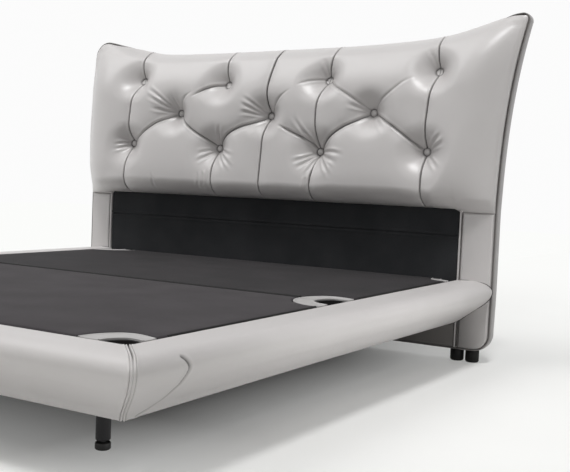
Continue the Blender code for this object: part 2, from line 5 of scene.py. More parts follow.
import bmesh
import bpy
import numpy as np
from mathutils import Matrix, Vector


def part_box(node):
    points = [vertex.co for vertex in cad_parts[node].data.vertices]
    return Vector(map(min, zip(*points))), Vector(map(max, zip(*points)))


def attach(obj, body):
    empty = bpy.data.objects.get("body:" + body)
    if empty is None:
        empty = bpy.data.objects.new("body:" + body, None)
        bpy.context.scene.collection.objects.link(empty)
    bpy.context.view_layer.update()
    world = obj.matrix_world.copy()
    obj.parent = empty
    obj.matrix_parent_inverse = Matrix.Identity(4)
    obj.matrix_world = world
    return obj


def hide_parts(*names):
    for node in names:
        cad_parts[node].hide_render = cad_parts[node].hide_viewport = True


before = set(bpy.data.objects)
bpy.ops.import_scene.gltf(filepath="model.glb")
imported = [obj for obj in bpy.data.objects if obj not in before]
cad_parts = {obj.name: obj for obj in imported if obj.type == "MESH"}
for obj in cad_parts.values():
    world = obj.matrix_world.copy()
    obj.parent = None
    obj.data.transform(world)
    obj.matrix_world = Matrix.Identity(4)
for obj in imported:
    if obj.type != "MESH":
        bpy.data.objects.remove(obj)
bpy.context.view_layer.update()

# Main places in the row frame, metres
HEAD = 0.98246
FOOT = HEAD - 2.0
MIDDLE = HEAD - 1.0
HALF = 0.9
BASE = 0.0539
BASE_CORNER = 0.9768
SEAM = 0.597
PAD_BACK = HEAD + 0.034
PITCH = 0.2545
ROW = 0.8299
ROW_STEP = 0.158235
TOP = 1.282
WING_HALF = 1.122
WING_TOP = 1.394
INSET = 0.0069
LEAN = 0.11
SHEET_BACK = HEAD + 0.0526
DECK_TOP = 0.327
DECK_BASE = 0.3052
DECK_HALF = 0.888
NOTCH = 0.143


# Small tools
def tone(code, share=1.0):
    """Linear colour from an sRGB hex code."""
    parts = [int(code[at:at + 2], 16) / 255 for at in (1, 3, 5)]
    return tuple(share * (v / 12.92 if v <= 0.04045 else ((v + 0.055) / 1.055) ** 2.4) for v in parts) + (1.0,)


def add(tree, kind, inputs=None, stops=(), **settings):
    """Add a shader node with its settings, its set or linked inputs and a ramp's stops; returns its outputs."""
    node = tree.nodes.new("ShaderNode" + kind)
    for name, value in settings.items():
        setattr(node, name, value)
    for name, value in (inputs or {}).items():
        if isinstance(value, bpy.types.NodeSocket):
            tree.links.new(value, node.inputs[name])
        else:
            node.inputs[name].default_value = value
    for index, (place, colour) in enumerate(stops):
        node.color_ramp.elements[index].position = place
        node.color_ramp.elements[index].color = colour
    return node.outputs


def new_material(name):
    """An empty material, what adds nodes to it, and the place on the piece."""
    material = bpy.data.materials.new(name)
    material.use_nodes = True
    material.node_tree.nodes.clear()
    node = functools.partial(add, material.node_tree)
    return material, node, node("TexCoord")["Object"]


def finished(material, node, **sockets):
    shader = node("BsdfPrincipled", {name.replace("_", " "): value for name, value in sockets.items()})
    node("OutputMaterial", {"Surface": shader[0]})
    return material


def leather(name, pale, deep, low=0.31, high=0.42, coat=0.32):
    """Pigmented, lightly embossed leather: an even colour under a soft broad gloss, with painted shade darkening
    it in folds, seams and other shaded places that its mesh marks.

    Its grain of about 1 mm is drawn 1.4 mm wide, so that it shows.
    """
    material, node, place = new_material(name)
    wobble = node("TexNoise", {"Vector": place, "Scale": 1000 / 9, "Detail": 2.0})["Color"]
    bent = node("MixRGB", {"Fac": 0.0012, "Color1": place, "Color2": wobble})[0]
    cells = node("TexVoronoi", {"Vector": bent, "Scale": 1000 / 1.4}, feature="DISTANCE_TO_EDGE")[0]
    grain = node("Math", {0: cells, 1: 0.09}, operation="MINIMUM")[0]
    clouds, pores, swell = [node("TexNoise", {"Vector": place, "Scale": 1000 / size_mm, "Detail": detail,
                                              "Roughness": 0.55})[0]
                            for size_mm, detail in ((260, 2.0), (5, 2.0), (32, 3.0))]
    hide = node("MixRGB", {"Fac": clouds, "Color1": tone(deep), "Color2": tone(pale)})[0]
    # The colour is a little darker in the valleys between the grain's cells.
    between = node("MapRange", {"Value": grain, "To Min": 0.14, "To Max": 0.0})[0]
    grain_valleys_darker = node("MixRGB", {"Fac": between, "Color1": hide, "Color2": tone(deep)}, blend_type="MULTIPLY")[0]
    # Painted shade: where the mesh marks folds, seams, button rims and shaded places, the colour is mixed towards
    # a dark brown.
    shade_mask = node("Attribute", attribute_name="painted_shade_share")["Fac"]
    shade_darkening = node("Math", {0: shade_mask, 1: 0.85}, operation="MULTIPLY")[0]
    colour = node("MixRGB", {"Fac": shade_darkening, "Color1": grain_valleys_darker, "Color2": tone("#2B2826")})[0]
    rough = node("MapRange", {"Value": pores, "To Min": low, "To Max": high})[0]
    soft = node("Bump", {"Height": swell, "Distance": 0.0011, "Strength": 0.35})[0]
    fine = node("Bump", {"Height": grain, "Distance": 0.0009, "Strength": 0.35, "Normal": soft})[0]
    return finished(material, node, Base_Color=colour, Roughness=rough, Normal=fine, Specular_IOR_Level=0.5,
                    Coat_Weight=coat, Coat_Roughness=0.30)


def cloth(name, pale, deep, thread_mm=1.1, rough=0.92, sheen=0.12):
    """Plain woven cloth: two crossed thread waves, drawn coarse enough to show, under a soft dull nap."""
    material, node, place = new_material(name)
    parts = node("SeparateXYZ", {"Vector": place})
    up = node("Math", {0: parts["Y"], 1: parts["Z"]}, operation="ADD")[0]
    flat = node("CombineXYZ", {"X": parts["X"], "Y": up})[0]
    waves = [node("TexWave", {"Vector": flat, "Scale": 1000 / thread_mm / math.tau, "Distortion": 0.6},
                  bands_direction=axis)["Fac"] for axis in "XY"]
    weave = node("Math", {0: waves[0], 1: waves[1]}, operation="MULTIPLY")[0]
    nap, clouds = [node("TexNoise", {"Vector": place, "Scale": 1000 / size_mm, "Detail": detail,
                                     "Roughness": 0.55})[0] for size_mm, detail in ((3, 4.0), (180, 2.0))]
    mixed = node("Math", {0: nap, 1: clouds}, operation="MULTIPLY")[0]
    colour = node("ValToRGB", {"Fac": mixed}, ((0.1, tone(deep)), (0.45, tone(pale))))[0]
    soft = node("Bump", {"Height": nap, "Distance": 0.0005, "Strength": 0.4})[0]
    normal = node("Bump", {"Height": weave, "Distance": 0.00025, "Strength": 0.5, "Normal": soft})[0]
    return finished(material, node, Base_Color=colour, Roughness=rough, Normal=normal, Specular_IOR_Level=0.2,
                    Sheen_Weight=sheen, Sheen_Roughness=0.4)


def coated(name, colour, rough, specular=0.5):
    """Powder coat or moulded plastic: one dull colour with a fine peel, drawn 0.9 mm wide."""
    material, node, place = new_material(name)
    clouds, peel = [node("TexNoise", {"Vector": place, "Scale": 1000 / size_mm, "Detail": 3.0,
                                      "Roughness": 0.55})[0] for size_mm in (40, 0.9)]
    share = node("Math", {0: clouds, 1: 0.35}, operation="MULTIPLY")[0]
    tint = node("MixRGB", {"Fac": share, "Color1": tone(colour), "Color2": tone(colour)}, blend_type="SCREEN")[0]
    varied = node("MapRange", {"Value": peel, "To Min": rough - 0.06, "To Max": rough + 0.08})[0]
    normal = node("Bump", {"Height": peel, "Distance": 0.00005, "Strength": 0.6})[0]
    return finished(material, node, Base_Color=tint, Roughness=varied, Normal=normal, Specular_IOR_Level=specular)


def steel(name, colour, rough):
    """Plated steel: bright grey with a faint drawn grain."""
    material, node, place = new_material(name)
    stretched = node("Mapping", {"Vector": place, "Scale": (1.0, 1.0, 14.0)})[0]
    lines = node("TexNoise", {"Vector": stretched, "Scale": 1000 / 6, "Detail": 4.0, "Roughness": 0.55})[0]
    colours = node("ValToRGB", {"Fac": lines}, ((0.3, tone(colour)), (0.7, tone(colour, 0.8))))[0]
    varied = node("MapRange", {"Value": lines, "To Min": rough - 0.08, "To Max": rough + 0.1})[0]
    return finished(material, node, Base_Color=colours, Roughness=varied, Metallic=1.0)


def timber(name, pale, deep):
    """Plywood face: long pale and deep bands of grain with open pores."""
    material, node, place = new_material(name)
    stretched = node("Mapping", {"Vector": place, "Scale": (1.0, 14.0, 14.0)})[0]
    bands = node("TexNoise", {"Vector": stretched, "Scale": 1000 / 200, "Detail": 6.0, "Roughness": 0.65,
                              "Distortion": 0.6})[0]
    pores = node("TexNoise", {"Vector": stretched, "Scale": 1000 / 16, "Detail": 4.0, "Roughness": 0.55})[0]
    colours = node("ValToRGB", {"Fac": bands}, ((0.35, tone(deep)), (0.65, tone(pale))))[0]
    normal = node("Bump", {"Height": pores, "Distance": 0.0004, "Strength": 0.4})[0]
    return finished(material, node, Base_Color=colours, Normal=normal, Roughness=0.62, Specular_IOR_Level=0.35)


def link(name, data):
    item = bpy.data.objects.new(name, data)
    bpy.context.scene.collection.objects.link(item)
    return item


def piece_of(name, bm, material, smooth=True):
    """A piece from a bmesh."""
    for face in bm.faces:
        face.smooth = smooth
    mesh = bpy.data.meshes.new(name)
    bm.to_mesh(mesh)
    bm.free()
    mesh.materials.append(material)
    return link(name, mesh)


def mesh_piece(name, verts, faces, material, smooth=True, painted_shade_share=None):
    """A piece from points and faces, and how much painted shade darkens each point, 0 to 1: in folds, seams and
    other shaded places.
    """
    mesh = bpy.data.meshes.new(name + "_net")
    mesh.from_pydata(np.asarray(verts, float).tolist(), [], faces)
    if painted_shade_share is not None:
        mesh.attributes.new("painted_shade_share", "FLOAT", "POINT").data.foreach_set("value", np.clip(painted_shade_share, 0, 1))
    bm = bmesh.new()
    bm.from_mesh(mesh)
    bpy.data.meshes.remove(mesh)
    bmesh.ops.remove_doubles(bm, verts=bm.verts, dist=0.00001)
    bmesh.ops.recalc_face_normals(bm, faces=bm.faces)
    return piece_of(name, bm, material, smooth)


def stand_in(piece, body, *nodes):
    """The piece takes the place of nodes of the frame, if any, and rides on a body."""
    if nodes:
        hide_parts(*nodes)
    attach(piece, body)
    return piece


def grid_faces(rows, columns, wrap=False):
    """Faces of a rows by columns net of points, closed across its columns if wrap."""
    faces = []
    for start in range(0, (rows - 1) * columns, columns):
        for column in range(columns if wrap else columns - 1):
            after = (column + 1) % columns
            faces.append((start + column, start + after, start + columns + after, start + columns + column))
    return faces


def capped_net(rows, columns):
    """Faces of a net that is closed across its columns, and over both of its ends."""
    last = (rows - 1) * columns
    return grid_faces(rows, columns, True) + [tuple(range(columns)), tuple(range(last, last + columns))]


def rim(rows, columns):
    """The points round a net's border, in order."""
    at = np.arange(rows * columns).reshape(rows, columns)
    return np.concatenate([at[0], at[1:, -1], at[-1, -2::-1], at[-2:0:-1, 0]]).tolist()


def backed_net(points, back):
    """Points and faces of a net that is closed by a back, which has a point behind each one of its rim."""
    rows, columns = points.shape[:2]
    edge, start = rim(rows, columns), rows * columns
    faces = grid_faces(rows, columns)
    for index, spot in enumerate(edge):
        after = (index + 1) % len(edge)
        faces.append((spot, edge[after], start + after, start + index))
    faces.append(tuple(range(start, start + len(edge))))
    return np.vstack([points.reshape(-1, 3), back]), faces


def tube(name, lines, material, closed=False, steps=1):
    """Threads or cords, each a line of points and a radius, as one piece."""
    curve = bpy.data.curves.new(name, "CURVE")
    curve.dimensions = "3D"
    curve.bevel_depth = 1.0
    curve.bevel_resolution = steps
    curve.use_fill_caps = not closed
    for points, radius in lines:
        spline = curve.splines.new("POLY")
        spline.points.add(len(points) - 1)
        for spot, point in zip(spline.points, points):
            spot.co = (*map(float, point), 1.0)
            spot.radius = radius
        spline.use_cyclic_u = closed
    path = link(name + "_path", curve)
    mesh = bpy.data.meshes.new_from_object(path)
    bpy.data.objects.remove(path, do_unlink=True)
    bm = bmesh.new()
    bm.from_mesh(mesh)
    bpy.data.meshes.remove(mesh)
    return piece_of(name, bm, material)


def turned(name, profile, centre, material, steps=64):
    """A round piece about a vertical axis, from (radius, height) points that run from top to bottom."""
    turns = [2 * math.pi * step / steps for step in range(steps)]
    verts = [(centre[0] + radius * math.cos(turn), centre[1] + radius * math.sin(turn), height)
             for radius, height in profile for turn in turns]
    return mesh_piece(name, verts, grid_faces(len(profile), steps, True), material)


def slab(name, rings, cuts, form, material, smooth=False):
    """A flat piece from rings of points, cut into a net by planes across axes, whose points form then moves."""
    bm = bmesh.new()
    spots = [bm.verts.new(point) for ring in rings for point in ring]
    for face in capped_net(len(rings), len(rings[0])):
        bm.faces.new([spots[index] for index in face])
    for axis, places in cuts:
        for place in places:
            bmesh.ops.bisect_plane(bm, geom=bm.verts[:] + bm.edges[:] + bm.faces[:], dist=0.00001,
                                   plane_co=Vector(axis) * place, plane_no=axis)
    for vertex in bm.verts:
        form(vertex.co)
    bmesh.ops.recalc_face_normals(bm, faces=bm.faces)
    return piece_of(name, bm, material, smooth)


def ease(value):
    value = np.clip(value, 0.0, 1.0)
    return value * value * (3 - 2 * value)


def bell(gap, width):
    """1 where the gap is 0, falling to nothing a few widths away."""
    return np.exp(-(gap / width) ** 2)


def quarter(share):
    """Height of a quarter circle, 0 at its edge and 1 at its crown."""
    return np.sqrt(1 - (1 - np.clip(share, 0, 1)) ** 2)


def rounded(gap, radius):
    """Set-back of a rounded edge at a distance from it."""
    return radius * (1 - quarter(gap / radius))


def spline_through(points, count):
    """Evenly spread points on a Catmull-Rom curve through the given ones."""
    points = np.array(points, float)
    ends = np.vstack([2 * points[0] - points[1], points, 2 * points[-1] - points[-2]])
    share = np.linspace(0, 1, 16, endpoint=False)[:, None]
    dense = []
    for before, start, end, after in zip(ends, ends[1:], ends[2:], ends[3:]):
        dense.append(0.5 * (2 * start + (end - before) * share + (2 * before - 5 * start + 4 * end - after)
                            * share ** 2 + (3 * start - before - 3 * end + after) * share ** 3))
    dense = np.vstack(dense + [ends[-2]])
    run = np.concatenate([[0], np.cumsum(np.linalg.norm(np.diff(dense, axis=0), axis=1))])
    wanted = np.linspace(0, run[-1], count)
    return np.stack([np.interp(wanted, run, dense[:, axis]) for axis in range(points.shape[1])], axis=1)


def moved_in(points, inset):
    """A closed outline, anticlockwise, moved inward."""
    before = points - np.roll(points, 1, axis=0)
    after = np.roll(points, -1, axis=0) - points
    along = 0
    for step in (before, after):
        along = along + step / np.maximum(np.linalg.norm(step, axis=1)[:, None], 1e-9)
    along /= np.maximum(np.linalg.norm(along, axis=1)[:, None], 1e-9)
    return points + np.stack([-along[:, 1], along[:, 0]], axis=1) * inset


# Outline of the headboard. Its right wing is higher and sharper than its left one
WING_RADIUS = {1: 0.029, -1: 0.074}
TIP_SHARE = {1: 0.5, -1: 0.22}
TOP_RISE = {1: spline_through(((0.0, 0.0005), (0.3, 0.003), (0.5, 0.0085), (0.6, 0.0135), (0.7, 0.0205),
                               (0.8, 0.0345), (0.9, 0.0605), (1.0, 0.0905), (1.06, 0.105),
                               (WING_HALF, WING_TOP - TOP), (1.16, 0.127)), 400),
            -1: spline_through(((0.0, 0.0005), (0.3, -0.0015), (0.5, 0.0), (0.6, 0.0018), (0.7, 0.0075),
                                (0.8, 0.0255), (0.9, 0.0500), (1.0, 0.0730), (1.06, 0.0865),
                                (WING_HALF, 0.1045), (1.16, 0.116)), 400)}


def side_of(across):
    return np.where(np.asarray(across) < 0, -1.0, 1.0)


def side_half(height, side=1):
    """Half width at a height, on the right or the left side."""
    rise = np.clip((height - 0.65) / (1.397 - 0.65), 0, None)
    fuller = 0.018 * np.clip((height - 0.60) / 0.30, 0, 1) ** 0.7
    return 1.05 - 0.0032 * ease((0.30 - height) / 0.20) + 0.072 * rise ** 2.4 + np.where(side < 0, fuller, 0.0)


def top_line(across):
    rise = [np.interp(np.abs(across), *TOP_RISE[side].T) for side in (1, -1)]
    return TOP + np.where(side_of(across) > 0, *rise)


def wing_arc(side):
    """Centre, first and last angle of the arc that touches the side and the top line."""
    radius = WING_RADIUS[side]
    height = np.linspace(WING_TOP - 0.25, WING_TOP - 0.01, 600)
    slope = (side_half(height + 0.001, side) - side_half(height - 0.001, side)) / 0.002
    start = np.stack([side_half(height, side), height])
    centres = start + radius / np.hypot(1, slope) * np.stack([-np.ones(600), slope])
    spots = np.linspace(0.8, WING_HALF + 0.02, 600)
    top = np.stack([spots, top_line(spots * side)])
    gaps = np.hypot(*(top[:, None, :] - centres[:, :, None]))
    best = int(np.argmin(np.abs(gaps.min(axis=1) - radius)))
    centre = centres[:, best]
    first, last = start[:, best] - centre, top[:, int(np.argmin(gaps[best]))] - centre
    return centre, math.atan2(first[1], first[0]), math.atan2(last[1], last[0])


def wing_places(side):
    """Radius and centre of a wing's arc, where it leaves the top and the side, and its tip."""
    (x, z), first, last = ARCS[side]
    radius = WING_RADIUS[side]
    tip = last + (first - last) * TIP_SHARE[side]
    return {"radius": radius, "x": x, "z": z, "turn_x": x + radius * math.cos(last),
            "turn_z": z + radius * math.sin(first), "tip_x": x + radius * math.cos(tip),
            "tip_z": z + radius * math.sin(tip)}


ARCS = {side: wing_arc(side) for side in WING_RADIUS}
WINGS = {side: wing_places(side) for side in WING_RADIUS}


def wing(across, *names):
    """The named places of the wing on each point's own side."""
    return [np.where(side_of(across) > 0, WINGS[1][name], WINGS[-1][name]) for name in names]


def outline_side(height, across):
    radius, x, z, turn = wing(across, "radius", "x", "z", "turn_z")
    arc = x + np.sqrt(np.clip(radius ** 2 - (height - z) ** 2, 0, None))
    return np.where(height <= turn, side_half(height, side_of(across)), arc)


def outline_top(across):
    radius, x, z, turn, tip = wing(across, "radius", "x", "z", "turn_x", "tip_x")
    reach = np.minimum(np.abs(across), tip)
    arc = z + np.sqrt(np.clip(radius ** 2 - (reach - x) ** 2, 0, None))
    return np.where(reach <= turn, top_line(reach * side_of(across)), arc)


def recline(height):
    return np.clip(height - SEAM, 0, None) * LEAN


def half_outline(side):
    """The right or left half of the outline, drawn to the right, from its base corner to its top's middle."""
    centre, first, last = ARCS[side]
    base_turn = np.radians(np.linspace(-90, 0, 13))
    wing_turn = np.linspace(first, last, 17)
    height = np.linspace(0.16, WINGS[side]["turn_z"], 90)[1:-1]
    across = np.linspace(WINGS[side]["turn_x"], 0, 80)[1:-1]
    radius = WING_RADIUS[side]
    parts = ((BASE_CORNER + 0.07 * np.cos(base_turn), 0.117 + 0.07 * np.sin(base_turn)),
             (side_half(height, side), height),
             (centre[0] + radius * np.cos(wing_turn), centre[1] + radius * np.sin(wing_turn)),
             (across, top_line(across * side)))
    return np.hstack([np.stack(part) for part in parts]).T


def headboard_outline(inset):
    """The whole outline as (across, height), anticlockwise from the base's right corner."""
    left = half_outline(-1)[::-1] * (-1, 1)
    return moved_in(np.vstack([half_outline(1), [(0.0, TOP)], left]), inset)


# Tufted leather of the headboard
def row_lift(across):
    return 0.0125 * (min(abs(across) / PITCH, 3.0) ** 2 - 5) / 4


BUTTONS = [(k * PITCH, ROW + row * ROW_STEP + (row_lift(k * PITCH) if row == 2 else 0.0))
           for row, ks in ((2, (-3, -1, 1, 3)), (1, (-2, 0, 2)), (0, (-3, -1, 1, 3))) for k in ks]
SEATS = [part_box("tuft_button_%02d" % (index + 1))[1][1] for index in range(len(BUTTONS))]
SEAMS = ((-3, SEAM, 1.4), (-1, SEAM, ROW), (-1, ROW + 2 * ROW_STEP, 1.4), (0, SEAM, 1.4), (1, SEAM, 1.4),
         (3, SEAM, 1.4))

# Pleats: how strong, whether the far end runs out, and the path's places across and up in millimetres
PLEATS = [(np.reshape(path, (-1, 2)) / 1000, strength, loose) for strength, loose, *path in (
    (1.0, True, -255, 1134, -304, 1126, -352, 1100, -408, 1060),
    (0.35, True, -509, 988, -480, 1024, -440, 1066, -385, 1100),
    (0.9, False, -764, 830, -696, 872, -648, 914, -602, 944, -560, 964, -509, 988),
    (1.0, False, -509, 988, -454, 952, -396, 918, -338, 888, -292, 862, -255, 830),
    (1.1, False, -255, 830, -226, 864, -172, 904, -120, 930, -62, 952, 0, 988),
    (1.0, True, 255, 830, 218, 872, 166, 898, 108, 924, 60, 950),
    (1.1, False, 255, 830, 292, 866, 341, 901, 388, 928, 444, 953, 509, 988),
    (1.0, False, 509, 988, 560, 966, 623, 930, 684, 889, 722, 861, 764, 830),
    (0.7, False, 255, 1134, 314, 1106, 362, 1084, 416, 1056, 464, 1026, 509, 988),
    (0.4, True, 509, 988, 546, 1026, 598, 1070, 646, 1110, 700, 1140),
    (0.45, True, 0, 988, 36, 1026, 79, 1066, 130, 1098),
    (0.5, True, 255, 1134, 221, 1136, 178, 1126, 140, 1106))]

# Pulled wrinkles: how strong, and the path in millimetres
WRINKLES = [(np.reshape(path, (-1, 2)) / 1000, strength) for strength, *path in (
    (1.0, -255, 840, -237, 888, -222, 950), (1.2, 245, 842, 220, 889, 186, 930, 145, 985),
    (0.8, 252, 1148, 236, 1194, 207, 1240), (0.8, 760, 1170, 748, 1205, 723, 1262),
    (1.1, -520, 1000, -545, 1024, -590, 1066, -682, 1122), (1.0, -522, 997, -550, 1014, -600, 1044, -672, 1078),
    (0.8, -524, 993, -560, 998, -600, 1006, -650, 1020), (0.7, -512, 1004, -515, 1040, -530, 1084),
    (0.8, -14, 996, -40, 1018, -80, 1046, -132, 1070), (0.9, -16, 992, -45, 1002, -80, 1020, -135, 1040),
    (0.9, -16, 987, -50, 990, -90, 996, -140, 993), (0.7, -238, 824, -196, 813, -156, 801, -124, 790),
    (0.8, -242, 818, -205, 797, -169, 770, -122, 732), (0.8, -247, 814, -222, 790, -192, 762, -166, 726),
    (0.7, -270, 824, -300, 816, -345, 800), (0.8, -268, 818, -296, 792, -342, 760),
    (1.0, 240, 821, 208, 800, 156, 774), (0.9, 244, 816, 222, 785, 178, 744),
    (0.8, 251, 812, 244, 766, 222, 710), (1.0, 270, 829, 310, 829, 356, 824, 424, 806),
    (1.0, 264, 817, 290, 792, 332, 752, 366, 706), (0.8, 267, 822, 302, 808, 352, 790, 398, 766),
    (0.9, -778, 832, -808, 832, -848, 824), (0.8, -778, 824, -804, 813, -850, 808),
    (0.8, 776, 842, 800, 866, 824, 888, 852, 912), (0.8, 779, 836, 806, 850, 832, 861, 864, 874),
    (0.9, 776, 816, 800, 796, 822, 776, 840, 756), (0.9, 496, 996, 462, 1008, 430, 1018, 394, 1030),
    (0.5, 520, 976, 552, 946, 580, 918, 598, 894), (0.5, -590, 712, -580, 664, -584, 614),
    (0.8, -300, 730, -292, 683, -302, 625), (0.6, -322, 718, -316, 672, -326, 628),
    (0.5, -276, 738, -268, 701, -272, 650), (0.8, 234, 722, 238, 675, 234, 628),
    (0.5, 254, 735, 252, 684, 250, 630))]

# Where the buttons and one seam's top lie off their even rows, in millimetres: place, shift and reach
OFF_ROW = np.array((
    (254.5, 1300, 38, 0, 170), (254.5, 830, 9, -6, 110), (0, 988, -2, -9, 110), (509, 988, -8, 3, 110),
    (763.5, 830, -10, 2, 110), (763.5, 1150, 8, 0, 110), (-254.5, 1134, -2, -10, 110), (-254.5, 830, -9, 0, 110),
    (-763.5, 1159, 6, -8, 110), (-763.5, 830, -8, 17, 110), (-509, 988, 6, 4, 110))) / 1000


def off_row(across, height):
    """The shift of a point of the tufting across and up."""
    aside = lift = 0.0
    for x, z, dx, dz, reach in OFF_ROW:
        share = np.exp(-((across - x) ** 2 + (height - z) ** 2) / reach ** 2)
        aside, lift = aside + dx * share, lift + dz * share
    return aside, lift


def low_line(across):
    """The cushion's lower edge: it rises over the opening between the posts."""
    return SEAM + 0.012 * ease((np.where(across < 0, 0.916, 0.902) - np.abs(across)) / 0.018)


def fullness(across, height):
    """The cushion's crown before it is tufted: how far it stands in front of its edge."""
    soft = SEAM + 0.012 * ease((1.0 - np.abs(across)) / 0.22)
    rise = (height - soft) / (0.08 + 0.34 * ease((across - 0.80) / 0.18))
    fall = np.clip((outline_top(across) - height) / 0.26, 0, 1)
    edge = np.clip((outline_side(height, across) - np.abs(across)) / 0.20, 0, 1)
    return 0.113 * quarter(rise) * np.sin(fall * math.pi / 2) * np.sin(edge * math.pi / 2)


def nearest_on(across, height, path):
    """Distance to a path, and the share along it, for each point of the net."""
    best = np.full(across.shape, 9.0)
    share = np.zeros(across.shape)
    runs = np.linalg.norm(np.diff(path, axis=0), axis=1)
    done = 0.0
    for (x0, z0), (x1, z1), run in zip(path[:-1], path[1:], runs):
        dx, dz = (x1 - x0) / run, (z1 - z0) / run
        along = np.clip((across - x0) * dx + (height - z0) * dz, 0, run)
        gap = np.hypot(across - x0 - along * dx, height - z0 - along * dz)
        share = np.where(gap < best, (done + along) / runs.sum(), share)
        best = np.minimum(best, gap)
        done += run
    return best, share


def pleat_fade(share, loose):
    return ease(share / 0.10) * ease((1 - share) / (0.45 if loose else 0.10))


def edge_gaps(across, height):
    """Distances to the side and to the top of the net's border."""
    side = outline_side(np.minimum(height, wing(across, "tip_z")[0]), across) - INSET - np.abs(across)
    return np.clip(side, 0, None), np.clip(outline_top(across) - INSET - height, 0, None)


def near_tip(across, height, reach):
    tip_x, tip_z = wing(across, "tip_x", "tip_z")
    return bell(np.hypot(tip_x - np.abs(across), tip_z - height), np.where(across < 0, 1.5, 1.0) * reach)


def wrapped(across):
    """Where the leather is rolled over the top edge, 1, and where it ends at the piping, 0."""
    return 1 - np.where(across >= 0, ease((across - 0.96) / 0.10), ease((-across - 0.80) / 0.20))


def stand(across, height):
    """How far the tufted leather stands in front of its edge."""
    full = fullness(across, height)
    side, top = edge_gaps(across, height)
    deep = np.where(across < 0, 0.016 + 0.013 * ease((height - 0.62) / 0.3), 0.024)
    deep = deep * (1 - 0.75 * near_tip(across, height, 0.13))
    rolled = wrapped(across)
    lip = deep * quarter(side / 0.018) * (rolled + (1 - rolled) * quarter(top / 0.026))
    inner = (1 - bell(side, 0.20)) * (1 - bell(top, 0.20))
    full = full + lip * ease((height - SEAM) / np.where(across < 0, 0.16, 0.06)) * (1 - inner)
    tuft = np.zeros_like(full)
    for (x, z), seat in zip(BUTTONS, SEATS):
        near = np.hypot(across - x, height - z)
        drop = fullness(np.array(x), np.array(z)) - (HEAD + 0.003 + recline(z) - seat)
        tuft = np.maximum(tuft, drop * np.clip(1 - np.clip(near - 0.014, 0, None) / 0.118, 0, None) ** 2.2)
    valley = np.zeros_like(full)
    for path, strength, loose in PLEATS:
        gap, share = nearest_on(across, height, path)
        valley = np.maximum(valley, 0.017 * strength * np.exp(-gap / 0.020) * pleat_fade(share, loose))
    for k, low, high in SEAMS:
        inside = ease((height - low + 0.03) / 0.03) * ease((high + 0.03 - height) / 0.03)
        valley = np.maximum(valley, 0.013 * np.exp(-np.abs(across - k * PITCH) / 0.022) * inside)
    return full - tuft - valley * np.clip(full / 0.08, 0, 1) * np.clip(1 - tuft / 0.09, 0, 1)


def net_places(places, rows):
    """Across and height of a net that follows the outline's top and fans out to the wings."""
    reach = 3 * PITCH
    up = rows[:, None]
    middle = places[None, :]
    tip_x, tip_z = wing(middle, "tip_x", "tip_z")
    tip_z = tip_z - INSET * 0.3
    beyond = np.clip(np.abs(middle) - reach, 0, None) / (tip_x - INSET - reach)

    def spread_out(level):
        end = outline_side(level, middle) - INSET
        return np.where(np.abs(middle) <= reach, middle, np.sign(middle) * (reach + beyond * (end - reach)))
    across = spread_out(SEAM + up * (tip_z - SEAM))
    low = low_line(spread_out(np.full(middle.shape, SEAM)))
    return across, low + up * (np.minimum(outline_top(middle) - INSET, tip_z) - low)


def overhang(across, height):
    """How far the stuffed edge bulges out over its piping."""
    side = edge_gaps(across, height)[0]
    left = across < 0
    swell = np.where(left, 0.008, 0.003) * np.clip(side / 0.009, 0, 1) ** 0.5
    swell *= bell(np.clip(side - 0.009, 0, None), 0.022) * (1 - near_tip(across, height, 0.15))
    return np.sign(across) * swell * ease((height - SEAM - 0.005) / np.where(left, 0.14, 0.04))


def leather_surface(across, height):
    """Points of the leather before it is blown up, rolled over the top edge between the wings."""
    front = HEAD + 0.003 + recline(height) - stand(across, height)
    top = edge_gaps(across, height)[1]
    turn = 1 - np.clip(top / 0.045, 0, 1)
    rolled = wrapped(across)
    end = HEAD + 0.033 + recline(height)
    front = front + rolled * (end - front) * (1 - np.cos(turn * math.pi / 2))
    risen = 0.057 * turn ** 3 - 0.102 * turn ** 2 + 0.045 * turn + 0.0565 * ease(turn)
    aside, lift = off_row(across, height)
    edge = ease(top / 0.05) * ease((height - SEAM) / 0.05)
    return np.stack([across + overhang(across, height) + aside, front,
                     height + rolled * (risen - 0.045 * turn) + lift * edge], axis=2)


def blow_up(points, pinned):
    """How Cloth moves the sheet between its pinned points: at most 14 mm, and then smoothed."""
    mesh = bpy.data.meshes.new("sheet")
    mesh.from_pydata(points.reshape(-1, 3).tolist(), [], grid_faces(*points.shape[:2]))
    sheet = link("sheet", mesh)
    group = sheet.vertex_groups.new(name="pins")
    group.add(np.flatnonzero(pinned.ravel()).tolist(), 1.0, "REPLACE")
    modifier = sheet.modifiers.new("cloth", "CLOTH")
    for name, value in (("quality", 6), ("mass", 0.4), ("tension_stiffness", 40), ("compression_stiffness", 40),
                        ("shear_stiffness", 20), ("bending_stiffness", 6.0), ("air_damping", 4),
                        ("shrink_min", -0.012), ("use_pressure", True), ("uniform_pressure_force", 4.0),
                        ("vertex_group_mass", "pins")):
        setattr(modifier.settings, name, value)
    modifier.settings.effector_weights.gravity = 0.0
    modifier.collision_settings.use_collision = False
    modifier.point_cache.frame_start = 1
    modifier.point_cache.frame_end = 20
    scene = bpy.context.scene
    for moment in range(1, 21):
        scene.frame_set(moment)
    done = sheet.evaluated_get(bpy.context.evaluated_depsgraph_get()).data
    moved = np.empty(len(done.vertices) * 3)
    done.vertices.foreach_get("co", moved)
    step = moved.reshape(points.shape) - points
    scene.frame_set(1)
    bpy.data.objects.remove(sheet, do_unlink=True)
    length = np.maximum(np.linalg.norm(step, axis=2, keepdims=True), 1e-9)
    step *= 0.014 * np.tanh(length / 0.014) / length
    for round_index in range(36):
        wide = np.pad(step, ((1, 1), (1, 1), (0, 0)), mode="edge")
        step = (wide[:-2, 1:-1] + wide[2:, 1:-1] + wide[1:-1, :-2] + wide[1:-1, 2:]) / 4
        step[pinned] = 0
    return step


